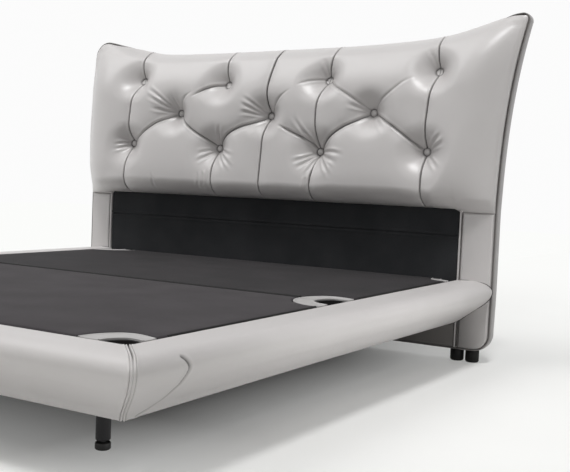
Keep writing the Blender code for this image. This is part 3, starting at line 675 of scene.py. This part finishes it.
def resample(points, old, new, axis):
    """Cubic interpolation of a net along one axis, from old shares to new ones."""
    place = np.interp(new, old, np.arange(len(old)))
    base = np.clip(np.floor(place).astype(int), 0, len(old) - 2)
    part = (place - base)[:, None, None]
    weights = (-0.5 * part + part ** 2 - 0.5 * part ** 3, 1 - 2.5 * part ** 2 + 1.5 * part ** 3,
               0.5 * part + 2 * part ** 2 - 1.5 * part ** 3, -0.5 * part ** 2 + 0.5 * part ** 3)
    points = np.moveaxis(points, axis, 0)
    result = sum(points[np.clip(base + offset, 0, len(old) - 1)] * weight
                 for offset, weight in zip((-1, 0, 1, 2), weights))
    return np.moveaxis(result, 0, axis)


def normals_of(points):
    normal = np.cross(np.gradient(points, axis=1), np.gradient(points, axis=0))
    return normal / np.maximum(np.linalg.norm(normal, axis=2, keepdims=True), 1e-12)


def coarse_net():
    """Column and row places of the net that Cloth moves."""
    inner = np.linspace(0, 3 * PITCH, 97)[1:]
    right, left = [np.concatenate([inner, np.linspace(3 * PITCH, WINGS[side]["tip_x"] - INSET, 45)[1:]])
                   for side in (1, -1)]
    rows = np.concatenate([np.linspace(0, 0.07, 15)[:-1], np.linspace(0.07, 0.93, 82)[:-1],
                           np.linspace(0.93, 1, 12)])
    return np.concatenate([-left[::-1], [0.0], right]), rows


def fine_net():
    """Column and row places of the finished leather: about 3.5 mm apart, and closer beside seams and edges."""
    steps = np.array((0.0, 0.0009, 0.0018, 0.0028, 0.0040, 0.0055, 0.0075, 0.0100))
    columns = []
    for side in (-1, 1):
        reach = WINGS[side]["tip_x"] - INSET
        places = list(np.linspace(0, reach - 0.014, 326))
        places += [reach - gap for gap in (0.0112, 0.0088, 0.0067, 0.0049, 0.0034, 0.0022, 0.0012, 0.0005, 0.0)]
        for k in (0, 1, 3):
            places = [p for p in places if abs(p - k * PITCH) > 0.0115]
            places += [k * PITCH + sign * step for step in steps for sign in (1, -1) if step or sign > 0]
        columns += [side * p for p in places if p > 0]
    rows = np.concatenate([np.linspace(0, 0.07, 22)[:-1], np.linspace(0.07, 0.93, 206)[:-1],
                           np.linspace(0.93, 0.99, 30)[:-1], np.linspace(0.99, 1.0, 9)])
    return np.array(sorted(columns + [0.0])), rows


def held_points(across, height):
    """The points of the net that stay where they are: edges, buttons, seams and sewn pleats."""
    pinned = edge_gaps(across, height)[1] < 0.045
    pinned[0] = pinned[-1] = pinned[:, 0] = pinned[:, -1] = True
    for x, z in BUTTONS:
        pinned |= np.hypot(across - x, height - z) < 0.016
    for k, low, high in SEAMS:
        pinned |= (np.abs(across - k * PITCH) < 0.002) & (height >= low) & (height <= high)
    for path, strength, loose in PLEATS:
        gap, share = nearest_on(across, height, path)
        if strength > 0.6:
            pinned |= (gap < 0.0045) & ((share < 0.75) | (not loose))
    return pinned


def relief(across, height):
    """How far pleats, wrinkles and seams lift the leather, and how much painted shade darkens their valleys and
    the rims round the buttons.
    """
    depth = np.zeros(across.shape)
    dark = np.zeros(across.shape)
    for path, strength, loose in PLEATS:
        gap, share = nearest_on(across, height, spline_through(path, 24))
        fade = pleat_fade(share, loose) * min(strength, 1.0)
        depth += fade * (0.0022 * bell(gap - 0.0100, 0.0060) - 0.0055 * bell(gap, 0.0040))
        dark = np.maximum(dark, 0.85 * strength * fade * bell(gap, 0.0021))
    for path, strength in WRINKLES:
        gap, share = nearest_on(across, height, spline_through(path, 16))
        fade = ease(share / 0.2) * ease((1 - share) / 0.5)
        width = 0.0045 + 0.004 * share
        depth += 0.0030 * strength * fade * (bell(gap - 1.9 * width, width) - bell(gap, width))
        dark = np.maximum(dark, 0.12 * strength * fade * bell(gap, 0.003))
    for k, low, high in SEAMS:
        gap = np.abs(across - k * PITCH)
        inside = (height >= low - 0.001) & (height <= high)
        depth += inside * (0.0016 * bell(gap - 0.0065, 0.0035) - 0.0060 * bell(gap, 0.0026))
        dark = np.maximum(dark, 0.9 * inside * bell(gap, 0.0017))
    # Painted shade also darkens a thin rim round each button.
    near = np.min([np.hypot(across - x, height - z) for x, z in BUTTONS], axis=0)
    depth *= np.clip((height - low_line(across)) / 0.012, 0, 1) * np.clip((near - 0.012) / 0.008, 0, 1)
    depth *= np.clip((outline_side(height, across) - np.abs(across)) / 0.02, 0, 1)
    return depth, np.maximum(dark, 0.9 * bell(np.clip(near - 0.0165, 0, None), 0.0025) * (near > 0.013))


def make_headboard_leather(material, thread):
    old_columns, old_rows = coarse_net()
    across, height = net_places(old_columns, old_rows)
    points = leather_surface(across, height)
    step = blow_up(points, held_points(across, height))
    columns, rows = fine_net()
    across, height = net_places(columns, rows)
    points = leather_surface(across, height)
    points += resample(resample(step, old_columns, columns, 1), old_rows, rows, 0)
    depth, dark = relief(across, height)
    points += normals_of(points) * depth[:, :, None]
    edge = rim(*across.shape)
    back = points.reshape(-1, 3)[edge]
    tucked = wrapped(back[:, 0]) * (height.ravel()[edge] > 1.2)
    back[:, 1] = PAD_BACK + recline(back[:, 2]) + 0.003 * tucked
    back[:, 2] -= 0.013 * tucked
    verts, faces = backed_net(points, back)
    piece = mesh_piece("headboard_leather", verts, faces, material,
                       painted_shade_share=np.concatenate([dark.ravel(), np.zeros(len(edge))]))
    stand_in(piece, "bed", "headboard_cushion")
    make_headboard_threads(points, across, height, thread)


def make_headboard_threads(points, across, height, material):
    """The dark lines in the sewn seams, following the leather and broken at the buttons."""
    parts = []
    for k, low, high in SEAMS:
        column = int(np.argmin(np.abs(across[0] - k * PITCH)))
        parts.append([])
        for row, level in enumerate(height[:, column]):
            free = all(math.hypot(k * PITCH - x, level - z) >= 0.0155 for x, z in BUTTONS)
            if free and low + 0.002 <= level <= high:
                point = points[row, column]
                if parts[-1] and np.linalg.norm(point - parts[-1][-1]) > 0.02:
                    parts.append([])
                parts[-1].append(point)
    stand_in(tube("headboard_seam_lines", [(part, 0.0010) for part in parts if len(part) > 2], material), "bed")


def make_buttons(material):
    """Covered buttons, slightly domed."""
    profile = ((0.0, 0.0105), (0.004, 0.0102), (0.008, 0.0092), (0.0115, 0.0072), (0.0138, 0.0045),
               (0.0145, 0.002), (0.0138, 0.0004), (0.0125, 0.0), (0.0, 0.0))
    for index, ((x, z), seat) in enumerate(zip(BUTTONS, SEATS)):
        node = "tuft_button_%02d" % (index + 1)
        piece = turned(node + "_cover", profile, (0, 0), material, 40)
        aside, lift = off_row(x, z)
        place = Matrix.Translation((x + aside, seat, z + lift))
        piece.data.transform(place @ Matrix.Rotation(math.pi / 2, 4, "X"))
        stand_in(piece, "bed", node)


# Edge strip, piping, posts and panels of the headboard
def make_edge(material, dark):
    """The strip round the edge and the dark cord along its front, tucked away along the base."""
    section = ((-0.0048, 0.0066), (-0.0012, 0.0066), (0.0, 0.0078), (0.0009, 0.018), (0.0012, 0.031),
               (0.0009, 0.044), (0.0, 0.0548), (-0.0012, 0.0564), (-0.0048, 0.0564))
    rings = []
    for out, back in section:
        x, z = headboard_outline(-out).T
        sunk = 0.010 * wrapped(x) * (z > 1.25) * max(0.0, 1 - back / 0.05)
        rings.append(np.stack([x, HEAD + back + recline(z), z - sunk], axis=1))
    net = np.stack(rings + rings[:1])
    stand_in(mesh_piece("edge_strip", net.reshape(-1, 3), grid_faces(*net.shape[:2], True), material),
             "bed", "edge_band")
    x, z = headboard_outline(0.0032).T
    tucked = np.maximum(ease((0.095 - z) / 0.045), (x < 0) * ease((0.67 - z) / 0.06))
    x, z = (headboard_outline(0.0032) * (1 - tucked)[:, None] + headboard_outline(0.0162) * tucked[:, None]).T
    path = np.stack([x, HEAD + 0.0032 + 0.018 * tucked + recline(z), z - 0.014 * wrapped(x) * (z > 1.25)], axis=1)
    stand_in(tube("edge_cord", [(path, 0.0030)], dark, closed=True, steps=2), "bed", "edge_piping")


def upright_pad(name, node, inner, outer, low, high, front, radius, material, size, side=1, crown=0.0,
                grooves=(), shade=None):
    """A soft upright slab with rounded front edges, from inner to outer(height), of size columns and rows."""
    columns, rows = size
    share = 0.5 - 0.5 * np.cos(np.linspace(0, math.pi, columns))[None, :]
    up = 0.5 - 0.5 * np.cos(np.linspace(0, math.pi, rows))[:, None]
    across = inner + share * (outer(low + up * (high - low)) - inner)
    base = low + rounded(BASE_CORNER + 0.0631 - np.abs(across), 0.0631)
    height = base + up * (high - base)
    sides = np.minimum(across - across[:, :1], across[:, -1:] - across)
    ends = np.minimum(height - height[:1], height[-1:] - height)
    depth = front + np.maximum(rounded(sides, radius), rounded(ends, radius))
    depth -= crown * np.sin(share * math.pi) * np.sin(up * math.pi) ** 0.5
    for level, width, deep in grooves:
        depth += deep * bell(height - level, width)
    points = np.stack([side * across, depth, height], axis=2)
    back = points.reshape(-1, 3)[rim(rows, columns)]
    back[:, 1] = PAD_BACK
    verts, faces = backed_net(points, back)
    dark = None if shade is None else shade(np.abs(verts[:, 0]), verts[:, 2])
    piece = stand_in(mesh_piece(name, verts, faces, material, painted_shade_share=dark), "bed", node)


def make_posts(material, dark):
    """Padded posts with narrow welts at the opening, and the dark sewn ribs beside them."""
    def in_shade(x, z):
        # Painted shade on the lower inner part of each post, under its rail's head end.
        return 0.6 * bell(x - 0.912, 0.06) * ease((0.28 - z) / 0.08)

    lines = []
    top = SEAM - 0.0003
    for side, name, inside in ((1, "right", 0.9003), (-1, "left", 0.9143)):
        upright_pad(name + "_post_leather", name + "_post_pad", inside + 0.0108, lambda z: side_half(z) - INSET,
                    BASE, top, HEAD, 0.011, material, (32, 80), side, crown=0.004, shade=in_shade)
        upright_pad(name + "_welt_leather", name + "_opening_welt", inside, lambda z: inside + 0.0105 + 0 * z,
                    BASE, top + 0.007, HEAD - 0.002, 0.005, material, (9, 40), side)
        for place, high in ((-0.0002, 0.24), (0.0107, SEAM), (0.0212, 0.24)):
            levels = np.linspace(0.056, high, 12)
            lines.append(([(side * (inside + place), HEAD - 0.0012, z) for z in levels], 0.0011))
    stand_in(tube("post_seam_lines", lines, dark), "bed")


def make_inner_panels(dark, grey):
    """The dark cloth between the posts, with its sewn seam, and the panel below it behind the deck."""
    seam = ((0.5, 0.0024, 0.0055), (0.508, 0.005, -0.0030), (0.492, 0.005, -0.0030))
    upright_pad("recess_cloth", "recess_panel", -HALF - 0.014, lambda z: HALF + 0 * z, 0.2904, SEAM + 0.0127,
                HEAD + 0.004, 0.006, dark, (90, 160), grooves=seam)
    upright_pad("lower_cloth", "lower_panel", -HALF, lambda z: HALF + 0 * z, BASE, 0.2900, HEAD + 0.004, 0.004,
                grey, (60, 30))


def make_back(dark):
    """The cloth over the headboard's back, drawn tight over its boards, with a turned hem."""
    rings = []
    for inset, back in ((0.0, 0.0), (0.0, 0.0032), (0.0015, 0.0040), (0.010, 0.0040), (0.0115, 0.0034),
                        (0.013, 0.0038)):
        x, z = headboard_outline(0.0056 + inset).T
        rings.append(np.stack([x, SHEET_BACK + back + recline(z), z], axis=1))

    def drawn_tight(spot):
        x, y, z = spot
        plane = SHEET_BACK + recline(z)
        if min(float(outline_side(z, x)) - abs(x), float(outline_top(x)) - z, z - 0.05) > 0.02:
            wave = 0.0008 * math.sin(x * 9.0) * math.sin(z * 7.0)
            spot.y = plane + 0.0038 - wave if y > plane + 0.002 else plane
    levels = [SEAM if abs(level - 0.6) < 0.01 else level for level in np.arange(0.1, 1.36, 0.05)]
    cuts = (((0, 0, 1), levels), ((1, 0, 0), np.arange(-1.05, 1.06, 0.07)))
    piece = stand_in(slab("back_cloth", rings, cuts, drawn_tight, dark), "bed", "back_cover")
    cut = headboard_outline(0.0056)
    cut[:, 1] += (math.hypot(1, LEAN) - 1) * np.clip(cut[:, 1] - SEAM, 0, None)


# Rails: outlines at their foot and head ends, as places outward and up
FOOT_SECTION = ((0.000, 0.3220), (0.0025, 0.3257), (0.0080, 0.3270), (0.0300, 0.3270), (0.0800, 0.3250),
                (0.1010, 0.3131), (0.1060, 0.2940), (0.0950, 0.2710), (0.0690, 0.2430), (0.0450, 0.2240),
                (0.0190, 0.2040), (0.0000, 0.1899), (-0.0290, 0.1680), (-0.0480, 0.1460), (-0.0550, 0.1415))
HEAD_SECTION = ((0.000, 0.3200), (0.0030, 0.3247), (0.0100, 0.3261), (0.0493, 0.3283), (0.0800, 0.3278),
                (0.1193, 0.3201), (0.1425, 0.3066), (0.1503, 0.2940), (0.1495, 0.2790), (0.1390, 0.2589),
                (0.1170, 0.2367), (0.0866, 0.2140), (0.0469, 0.1840), (0.0120, 0.1600), (-0.0290, 0.1420),
                (-0.0450, 0.1400), (-0.0550, 0.1398))
SKIN = 130

# The curved seam of the corner's wrapped flap on the side rails, as places along and up
FLAP = ((-0.9760, 0.3120), (-0.9671, 0.3070), (-0.9547, 0.2971), (-0.9411, 0.2838), (-0.9350, 0.2694),
        (-0.9290, 0.2529), (-0.9120, 0.2207), (-0.8985, 0.1927), (-0.9007, 0.1651), (-0.9282, 0.1487))


def rail_ring(section):
    """A rail's outline: its skin first and then the step for the core."""
    skin = spline_through(section, SKIN)
    return np.vstack([skin, [(skin[-1, 0], 0.1997), (0.0, 0.1997)]])


def rail_shares(length):
    """Shares along a rail: close together beside the mitre, and quite close under the flap."""
    close = [0.0, 0.0007, 0.0014, 0.0022, 0.0032, 0.0045, 0.0060, 0.0072, 0.0080, 0.0088, 0.0094, 0.0100, 0.0108,
             0.0118, 0.0132, 0.0155, 0.0190, 0.024]
    end = [length - gap for gap in (0.0060, 0.0042, 0.0028, 0.0016, 0.0007, 0.0)]
    flap, rest = np.linspace(0.028, 0.26, 68), np.linspace(0.30, length - 0.02, 54)
    return np.concatenate([close, flap, rest, end]) / length


def grown(ring, amount):
    """A rail's outline moved outward."""
    along = np.roll(ring, -1, axis=0) - np.roll(ring, 1, axis=0)
    along /= np.maximum(np.linalg.norm(along, axis=1)[:, None], 1e-9)
    return ring + np.stack([-along[:, 1], along[:, 0]], axis=1) * amount


def mitre_dip(distance):
    """The leather's height beside the mitre's seam, with its two rows of stitches."""
    return (0.0020 * bell(distance - 0.0048, 0.0026) - 0.0058 * bell(distance, 0.0022)
            - 0.0018 * bell(distance - 0.0094, 0.0011) + 0.0010 * bell(distance - 0.0130, 0.0030))


# Painted shade beside the mitre: darkest deep in its seam, less along its row of stitches.
def mitre_dark(distance):
    return 0.95 * bell(distance, 0.0016) + 0.55 * bell(distance - 0.0094, 0.0009)


def side_rail_net(side):
    foot, head = rail_ring(FOOT_SECTION), rail_ring(HEAD_SECTION)
    length = 2.1
    net, dark = [], []
    start = FOOT - foot[:, 0] + 0.0003
    for share in rail_shares(length):
        end = (1 - share) * length
        turned_in = 0.0045 * (1 - quarter(end / 0.006))
        ring = grown(foot + (head - foot) * share, mitre_dip(share * length) - turned_in)
        along = start + (HEAD - 0.0003 - start) * share
        net.append(np.stack([side * (HALF + ring[:, 0]), along, ring[:, 1]], axis=1))
        # Painted shade also darkens the last few millimetres of the rail, where it meets its post.
        dark.append(np.full(len(ring), mitre_dark(share * length) + 0.8 * bell(end, 0.0022)))
    net, dark = np.array(net), np.array(dark)
    gap, share = nearest_on(net[:, :, 1], net[:, :, 2], spline_through(FLAP, 60))
    outside = np.abs(net[:, :, 0]) > HALF + 0.09 - 1.1 * (0.3 - net[:, :, 2])
    fade = (np.arange(net.shape[1]) < SKIN) * outside * ease(share / 0.04) * (1 - 0.36 * share)
    depth = fade * (0.0018 * bell(gap - 0.0075, 0.0040) - 0.0045 * bell(gap, 0.0028))
    normal = normals_of(net)
    outward = np.sign(normal[0, 60, 0] * side)
    # Painted shade along the groove of the flap's seam.
    dark = np.maximum(dark, np.minimum(1.0, 1.15 * fade) * bell(gap, 0.0027))
    return net + normal * (depth * outward)[:, :, None], dark


def foot_rail_net():
    foot = rail_ring(FOOT_SECTION)
    half = 1.0
    end = HALF + foot[:, 0] - 0.0003
    net, dark = [], []
    for sign, order in ((-1, rail_shares(half)), (1, rail_shares(half)[::-1][1:])):
        for share in order:
            ring = grown(foot, mitre_dip(share * half))
            net.append(np.stack([sign * end * (1 - share), FOOT - ring[:, 0], ring[:, 1]], axis=1))
            dark.append(np.full(len(ring), mitre_dark(share * half)))
    return np.array(net), np.array(dark)


def make_rails(material, thread):
    """The padded leather rails, and a dark tube that paints the shadow in the gap where each side rail meets its
    post.
    """
    lines = []
    nets = (("right", side_rail_net(1)), ("left", side_rail_net(-1)), ("foot", foot_rail_net()))
    for name, (net, dark) in nets:
        piece = mesh_piece(name + "_rail_leather", net.reshape(-1, 3), capped_net(*net.shape[:2]), material,
                           painted_shade_share=dark.ravel())
        stand_in(piece, "bed", name + "_rail_cover")
    # Painted shadow: a dark tube round each side rail's head end.
    for side in (1, -1):
        ring = grown(spline_through(HEAD_SECTION, SKIN), -0.0005)
        lines.append(([(side * (HALF + x), HEAD - 0.0018, z) for x, z in ring[6:-10]], 0.0022))
    stand_in(tube("rail_joint_painted_shadow", lines, thread), "bed")


# Deck
def grip_reach(panel, place, degrees):
    """How far a grip reaches: right near ones less along the rail, the head's right far one less both ways."""
    if (panel, place) == ("head", "right_far"):
        return 0.60
    return 1 - 0.30 * float(ease(1 - (degrees - 90) / 48)) if place == "right_near" else 1.0


def corners_of(near, far):
    """The panel's corners with a grip: name, place and the first angle of its quarter ring."""
    return (("right_near", DECK_HALF, near, 90), ("right_far", DECK_HALF, far, 180),
            ("left_far", -DECK_HALF, far, 270), ("left_near", -DECK_HALF, near, 0))


def notched_outline(panel, near, far, inset):
    points = []
    for place, x, y, start in corners_of(near, far):
        for degrees in np.linspace(start + 90, start, 15):
            turn = math.radians(degrees)
            reach = NOTCH * grip_reach(panel, place, degrees)
            points.append((x + reach * math.cos(turn), y + reach * math.sin(turn)))
    return moved_in(np.array(points), inset)


def make_deck(head_cloth, foot_cloth, pale, black):
    """Two padded panels in dark cloth, each with black tubes along its sides and joint that paint the shadow in
    the gaps there, and a grip at each corner.
    """
    radius = 0.011
    turns = np.linspace(0, math.pi / 2, 6)
    edge = [(0.0, DECK_BASE), *zip(radius * (1 - np.cos(turns)), DECK_TOP - radius * (1 - np.sin(turns)))]
    for name, near, far, joint, level, thick, material in (
            ("head", MIDDLE + 0.0015, HEAD - 0.012, MIDDLE + 0.0077, 0.3246, 0.0066, head_cloth),
            ("foot", FOOT + 0.012, MIDDLE - 0.0015, MIDDLE - 0.0045, 0.3232, 0.0030, foot_cloth)):
        rings = [[(x, y, height) for x, y in notched_outline(name, near, far, inset)] for inset, height in edge]
        middle = (near + far) / 2

        def crowned(spot):
            if spot.z > DECK_TOP - 0.0002:
                spot.z += 0.0022 * (1 - (spot.x / DECK_HALF) ** 2) * (1 - ((spot.y - middle) / 0.493) ** 2)
        cuts = (((1, 0, 0), np.arange(-0.84, 0.85, 0.06)), ((0, 1, 0), np.arange(near + 0.04, far, 0.06)))
        piece = slab(name + "_deck_cloth", rings, cuts, crowned, material, smooth=True)
        stand_in(piece, name + "_panel", name + "_deck_pad")
        # Painted shadow: black tubes stand for the shade in the joint between the panels and in the gaps beside
        # the rails.
        lines = [([(x, joint, level) for x in np.linspace(-0.7455, 0.7455, 8)], thick)]
        for x in (-0.8835, 0.8835):
            lines.append(([(x, y, 0.3226) for y in np.linspace(near + NOTCH, far - NOTCH, 8)], 0.0046))
        stand_in(tube(name + "_deck_gap_painted_shadow", lines, black), name + "_panel")
        for place, x, y, start in corners_of(near, far):
            make_grip(name, place, (x, y), start, pale, black)


def make_grip(panel, place, centre, start, pale, black):
    """A pale quarter ring with raised rims, on a black collar that lines the finger hole."""
    seat, top = 0.3212, 0.3262
    plate = ((0.0768, seat), (0.0765, top - 0.0010), (0.0774, top - 0.0001), (0.0790, top),
             (0.0812, top - 0.0003), (0.0830, top - 0.0014), (0.0860, top - 0.0022), (0.1320, top - 0.0022),
             (0.1350, top - 0.0014), (0.1366, top - 0.0003), (0.1385, top), (0.1405, top - 0.0002),
             (0.1414, top - 0.0012), (0.1412, seat))
    collar = ((0.0690, DECK_BASE), (0.0690, seat - 0.0009), (0.0700, seat - 0.0001), (0.1398, seat - 0.0001),
              (0.1400, DECK_BASE))
    node = panel + "_grip_" + place
    for name, section, material in ((node + "_ring", plate, pale), (node + "_collar", collar, black)):
        verts = []
        for degrees in np.linspace(start, start + 90, 41):
            turn = math.radians(degrees)
            reach = grip_reach(panel, place, degrees)
            across, along = reach * math.cos(turn), reach * math.sin(turn)
            verts += [(centre[0] + radius * across, centre[1] + radius * along, height)
                      for radius, height in section]
        piece = mesh_piece(name, verts, capped_net(41, len(section)), material, smooth=False)
        stand_in(piece, panel + "_panel", node)


# Legs, glides and rear feet
def make_legs(black, rubber, bright, deep):
    leg = ((0.0, 0.2492), (0.029, 0.2492), (0.030, 0.2484), (0.030, 0.2462), (0.0202, 0.2462), (0.019, 0.2447),
           (0.019, 0.0275), (0.0185, 0.0257), (0.0165, 0.0245), (0.0046, 0.0245), (0.0046, 0.0739), (0.0, 0.0739))
    glide = ((0.0, 0.020), (0.0155, 0.020), (0.0178, 0.0193), (0.0193, 0.0178), (0.020, 0.0155), (0.020, 0.0045),
             (0.0196, 0.0028), (0.0182, 0.0012), (0.016, 0.0), (0.0, 0.0))
    stud = [(0.0, 0.068), (0.0036, 0.068), (0.0040, 0.0672)]
    for level in 0.0668 - 0.0015 * np.arange(28):
        stud += [(0.0040, level), (0.0035, level - 0.00075)]
    stud += [(0.0040, 0.0232), (0.0078, 0.023), (0.0080, 0.0226), (0.0080, 0.0204), (0.0, 0.0202)]
    foot = ((0.0, 0.0467), (0.0267, 0.0467), (0.0272, 0.0462), (0.0272, 0.009), (0.0265, 0.0055),
            (0.0246, 0.0026), (0.0217, 0.0007), (0.018, 0.0), (0.0, 0.0))
    for name, body, x, y in (("right_front", "right_glide", 0.636, FOOT + 0.231),
                             ("left_front", "left_glide", -0.636, FOOT + 0.231),
                             ("centre", "middle_glide", 0.0, MIDDLE)):
        stand_in(turned(name + "_round_leg", leg, (x, y), black), "bed", name + "_leg")
        stand_in(turned(name + "_round_glide", glide, (x, y), rubber), body, name + "_glide")
        stand_in(turned(name + "_glide_screw", stud, (x, y), bright, 24), body)
    for side, word in ((1, "right"), (-1, "left")):
        for offset, place in ((0.010, "inner"), (0.073, "outer")):
            node = "%s_rear_foot_%s" % (word, place)
            stand_in(turned(node + "_block", foot, (side * (HALF + offset), HEAD + 0.0275), deep), "bed", node)


# Materials of the CAD nodes that stay
def dress_nodes(plain, stained, black, zinc):
    for name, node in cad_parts.items():
        for ending, material in (("er_board", plain), ("deck_board", stained), ("_core", stained),
                                 ("_ledger", stained), ("_bearer", black), ("_bracket", zinc)):
            if name.endswith(ending):
                node.data.materials.clear()
                node.data.materials.append(material)


# Camera, light and floor
def make_camera():
    data = bpy.data.cameras.new("camera")
    data.sensor_width = 36.0
    data.sensor_fit = "HORIZONTAL"
    data.lens = 57.397
    data.clip_end = 60.0
    camera = link("camera", data)
    yaw, pitch, roll = 0.53145, 0.05651, -0.04212
    camera.matrix_world = (Matrix.Translation((2.13963, HEAD - 3.47455, 0.67741)) @ Matrix.Rotation(yaw, 4, "Z")
                           @ Matrix.Rotation(math.pi / 2 - pitch, 4, "X") @ Matrix.Rotation(-roll, 4, "Z"))
    bpy.context.scene.camera = camera


def seen_directly(node):
    """1 for what the camera sees, also by reflection or through glass."""
    path = node("LightPath")
    plain = node("Math", {0: path["Is Camera Ray"], 1: path["Is Glossy Ray"]}, operation="MAXIMUM")[0]
    return node("Math", {0: plain, 1: path["Is Transmission Ray"]}, operation="MAXIMUM")[0]


def make_lamp(name, kind, energy, way, place=(0, 0, 0), **settings):
    data = bpy.data.lights.new(name, kind)
    data.energy = energy
    for key, value in settings.items():
        setattr(data, key, value)
    lamp = link(name, data)
    lamp.location = place
    lamp.rotation_euler = Vector(way).to_track_quat("-Z", "Y").to_euler()
    return lamp


def make_surroundings():
    """A white studio that lights the bed a little more from its left, with soft lamps and a low fill card."""
    world = bpy.data.worlds.new("studio")
    bpy.context.scene.world = world
    world.use_nodes = True
    world.node_tree.nodes.clear()
    node = functools.partial(add, world.node_tree)
    way = node("SeparateXYZ", {"Vector": node("TexCoord")["Generated"]})
    sky = node("ValToRGB", {"Fac": way["Z"]}, ((0.5, (0.34, 0.34, 0.34, 1)), (1.0, (0.38, 0.38, 0.38, 1))))[0]
    share = node("MapRange", {"Value": way["X"], "From Min": -1.0, "From Max": 1.0, "To Min": 1.20,
                              "To Max": 0.74})[0]
    light = node("Background", {"Color": sky, "Strength": share})[0]
    white = node("Background", {"Color": (1, 1, 1, 1), "Strength": 0.97})[0]
    node("OutputWorld", {"Surface": node("MixShader", {0: seen_directly(node), 1: light, 2: white})[0]})
    make_lamp("overhead_softbox", "SUN", 1.36, (-0.18, 0.36, -1.0), angle=math.radians(11))
    make_lamp("left_softbox", "SUN", 0.85, (0.62, 0.40, -1.0), angle=math.radians(40))
    make_lamp("front_softbox", "SUN", 0.14, (0.45, 0.80, -0.25), angle=math.radians(90))
    card = make_lamp("low_fill_card", "AREA", 1.25, (-1.0, 0.0, 0.06), (2.3, 0.0, 0.17), shape="RECTANGLE",
                     size=1.4, size_y=0.24, spread=math.radians(50))
    card.visible_camera = False
    bpy.context.scene.view_settings.view_transform = "Standard"


def make_floor():
    """A matt white floor; to the camera it is a share self-bright, so that its shadow is as light as paper's."""
    material, node, place = new_material("matt_white_studio_floor")
    patches = node("TexNoise", {"Vector": place, "Scale": 1000 / 900, "Detail": 2.0, "Roughness": 0.55})[0]
    seen = seen_directly(node)
    shown = node("ValToRGB", {"Fac": patches}, ((0.3, tone("#F3F3F1")), (0.7, tone("#F6F6F4"))))[0]
    paint = node("MixRGB", {"Fac": seen, "Color1": tone("#E8E8E6"), "Color2": shown})[0]
    matt = node("BsdfPrincipled", {"Base Color": paint, "Roughness": 0.6, "Specular IOR Level": 0.1})[0]
    glow = node("Emission", {"Color": (0.97, 0.975, 0.96, 1), "Strength": 1.0})[0]
    far = node("VectorMath", {0: place}, operation="LENGTH")["Value"]
    share = node("MapRange", {"Value": far, "From Min": 1.9, "From Max": 5.5, "To Min": 0.0, "To Max": 0.8},
                 interpolation_type="SMOOTHSTEP")[0]
    parts = node("SeparateXYZ", {"Vector": place})
    beside = node("Math", {0: parts["X"]}, operation="ABSOLUTE")[0]
    for distance, low, high, most in ((beside, 0.50, 0.78, 0.19), (parts["Y"], -0.45, -0.82, 0.15),
                                      (parts["Y"], 0.60, 0.95, 0.06)):
        near = node("MapRange", {"Value": distance, "From Min": low, "From Max": high, "To Min": 0.01,
                                 "To Max": most})[0]
        share = node("Math", {0: share, 1: near}, operation="ADD", use_clamp=True)[0]
    part = node("Math", {0: seen, 1: share}, operation="MULTIPLY")[0]
    node("OutputMaterial", {"Surface": node("MixShader", {0: part, 1: matt, 2: glow})[0]})
    reach = 14.0
    floor = mesh_piece("floor", [(-reach, -reach, 0), (reach, -reach, 0), (reach, reach, 0), (-reach, reach, 0)],
                       [(0, 1, 2, 3)], material, smooth=False)


def main():
    hide = leather("smooth_pigmented_leather_warm_grey", "#D0CDCC", "#C7C4C3")
    piping = leather("painted_leather_piping_dark_grey", "#6A6663", "#4E4B49")
    thread = cloth("bonded_nylon_thread_dark_grey", "#3A3836", "#242322", 0.5, 0.7)
    dark = cloth("woven_polyester_near_black", "#37383A", "#252628")
    grey = cloth("woven_polyester_dark_grey", "#474446", "#363335", 1.3, sheen=0.03)
    grip = coated("moulded_grip_pale_grey", "#A8A6A5", 0.5)
    black = coated("powder_coated_steel_black", "#1E1D1F", 0.42)
    rubber = coated("moulded_nylon_black", "#171615", 0.5)
    jet = coated("moulded_rubber_deep_black", "#0B0A0A", 0.6, specular=0.25)
    make_camera()
    make_surroundings()
    make_floor()
    make_headboard_leather(hide, thread)
    make_buttons(hide)
    # The edge strip is the same leather as the headboard, painted darker for the shade on the headboard's sides.
    make_edge(leather("smooth_pigmented_leather_edge_strip_painted_darker", "#969291", "#8E8A89"), piping)
    make_posts(hide, thread)
    # The lower panel is the same pale leather, painted darker for the shade below the deck.
    make_inner_panels(dark, leather("smooth_pigmented_leather_painted_shadow", "#86827F", "#7E7A78"))
    make_back(dark)
    make_rails(leather("smooth_pigmented_leather_rail", "#D0CDCC", "#C7C4C3", 0.45, 0.56, coat=0.06), thread)
    # The head panel's cloth is the same as the foot panel's, painted darker for the shade near the headboard.
    make_deck(cloth("woven_polyester_painted_darker_head", "#343133", "#242324", 1.3, sheen=0.03), grey, grip, jet)
    make_legs(black, rubber, steel("zinc_plated_steel_turned", "#B9BABB", 0.3), jet)
    dress_nodes(timber("birch_plywood_sawn", "#C9A777", "#A98556"),
                timber("plywood_stained_black_brown", "#3A3431", "#26221F"), black,
                steel("zinc_plated_steel_pressed", "#A9ABAC", 0.38))


main()
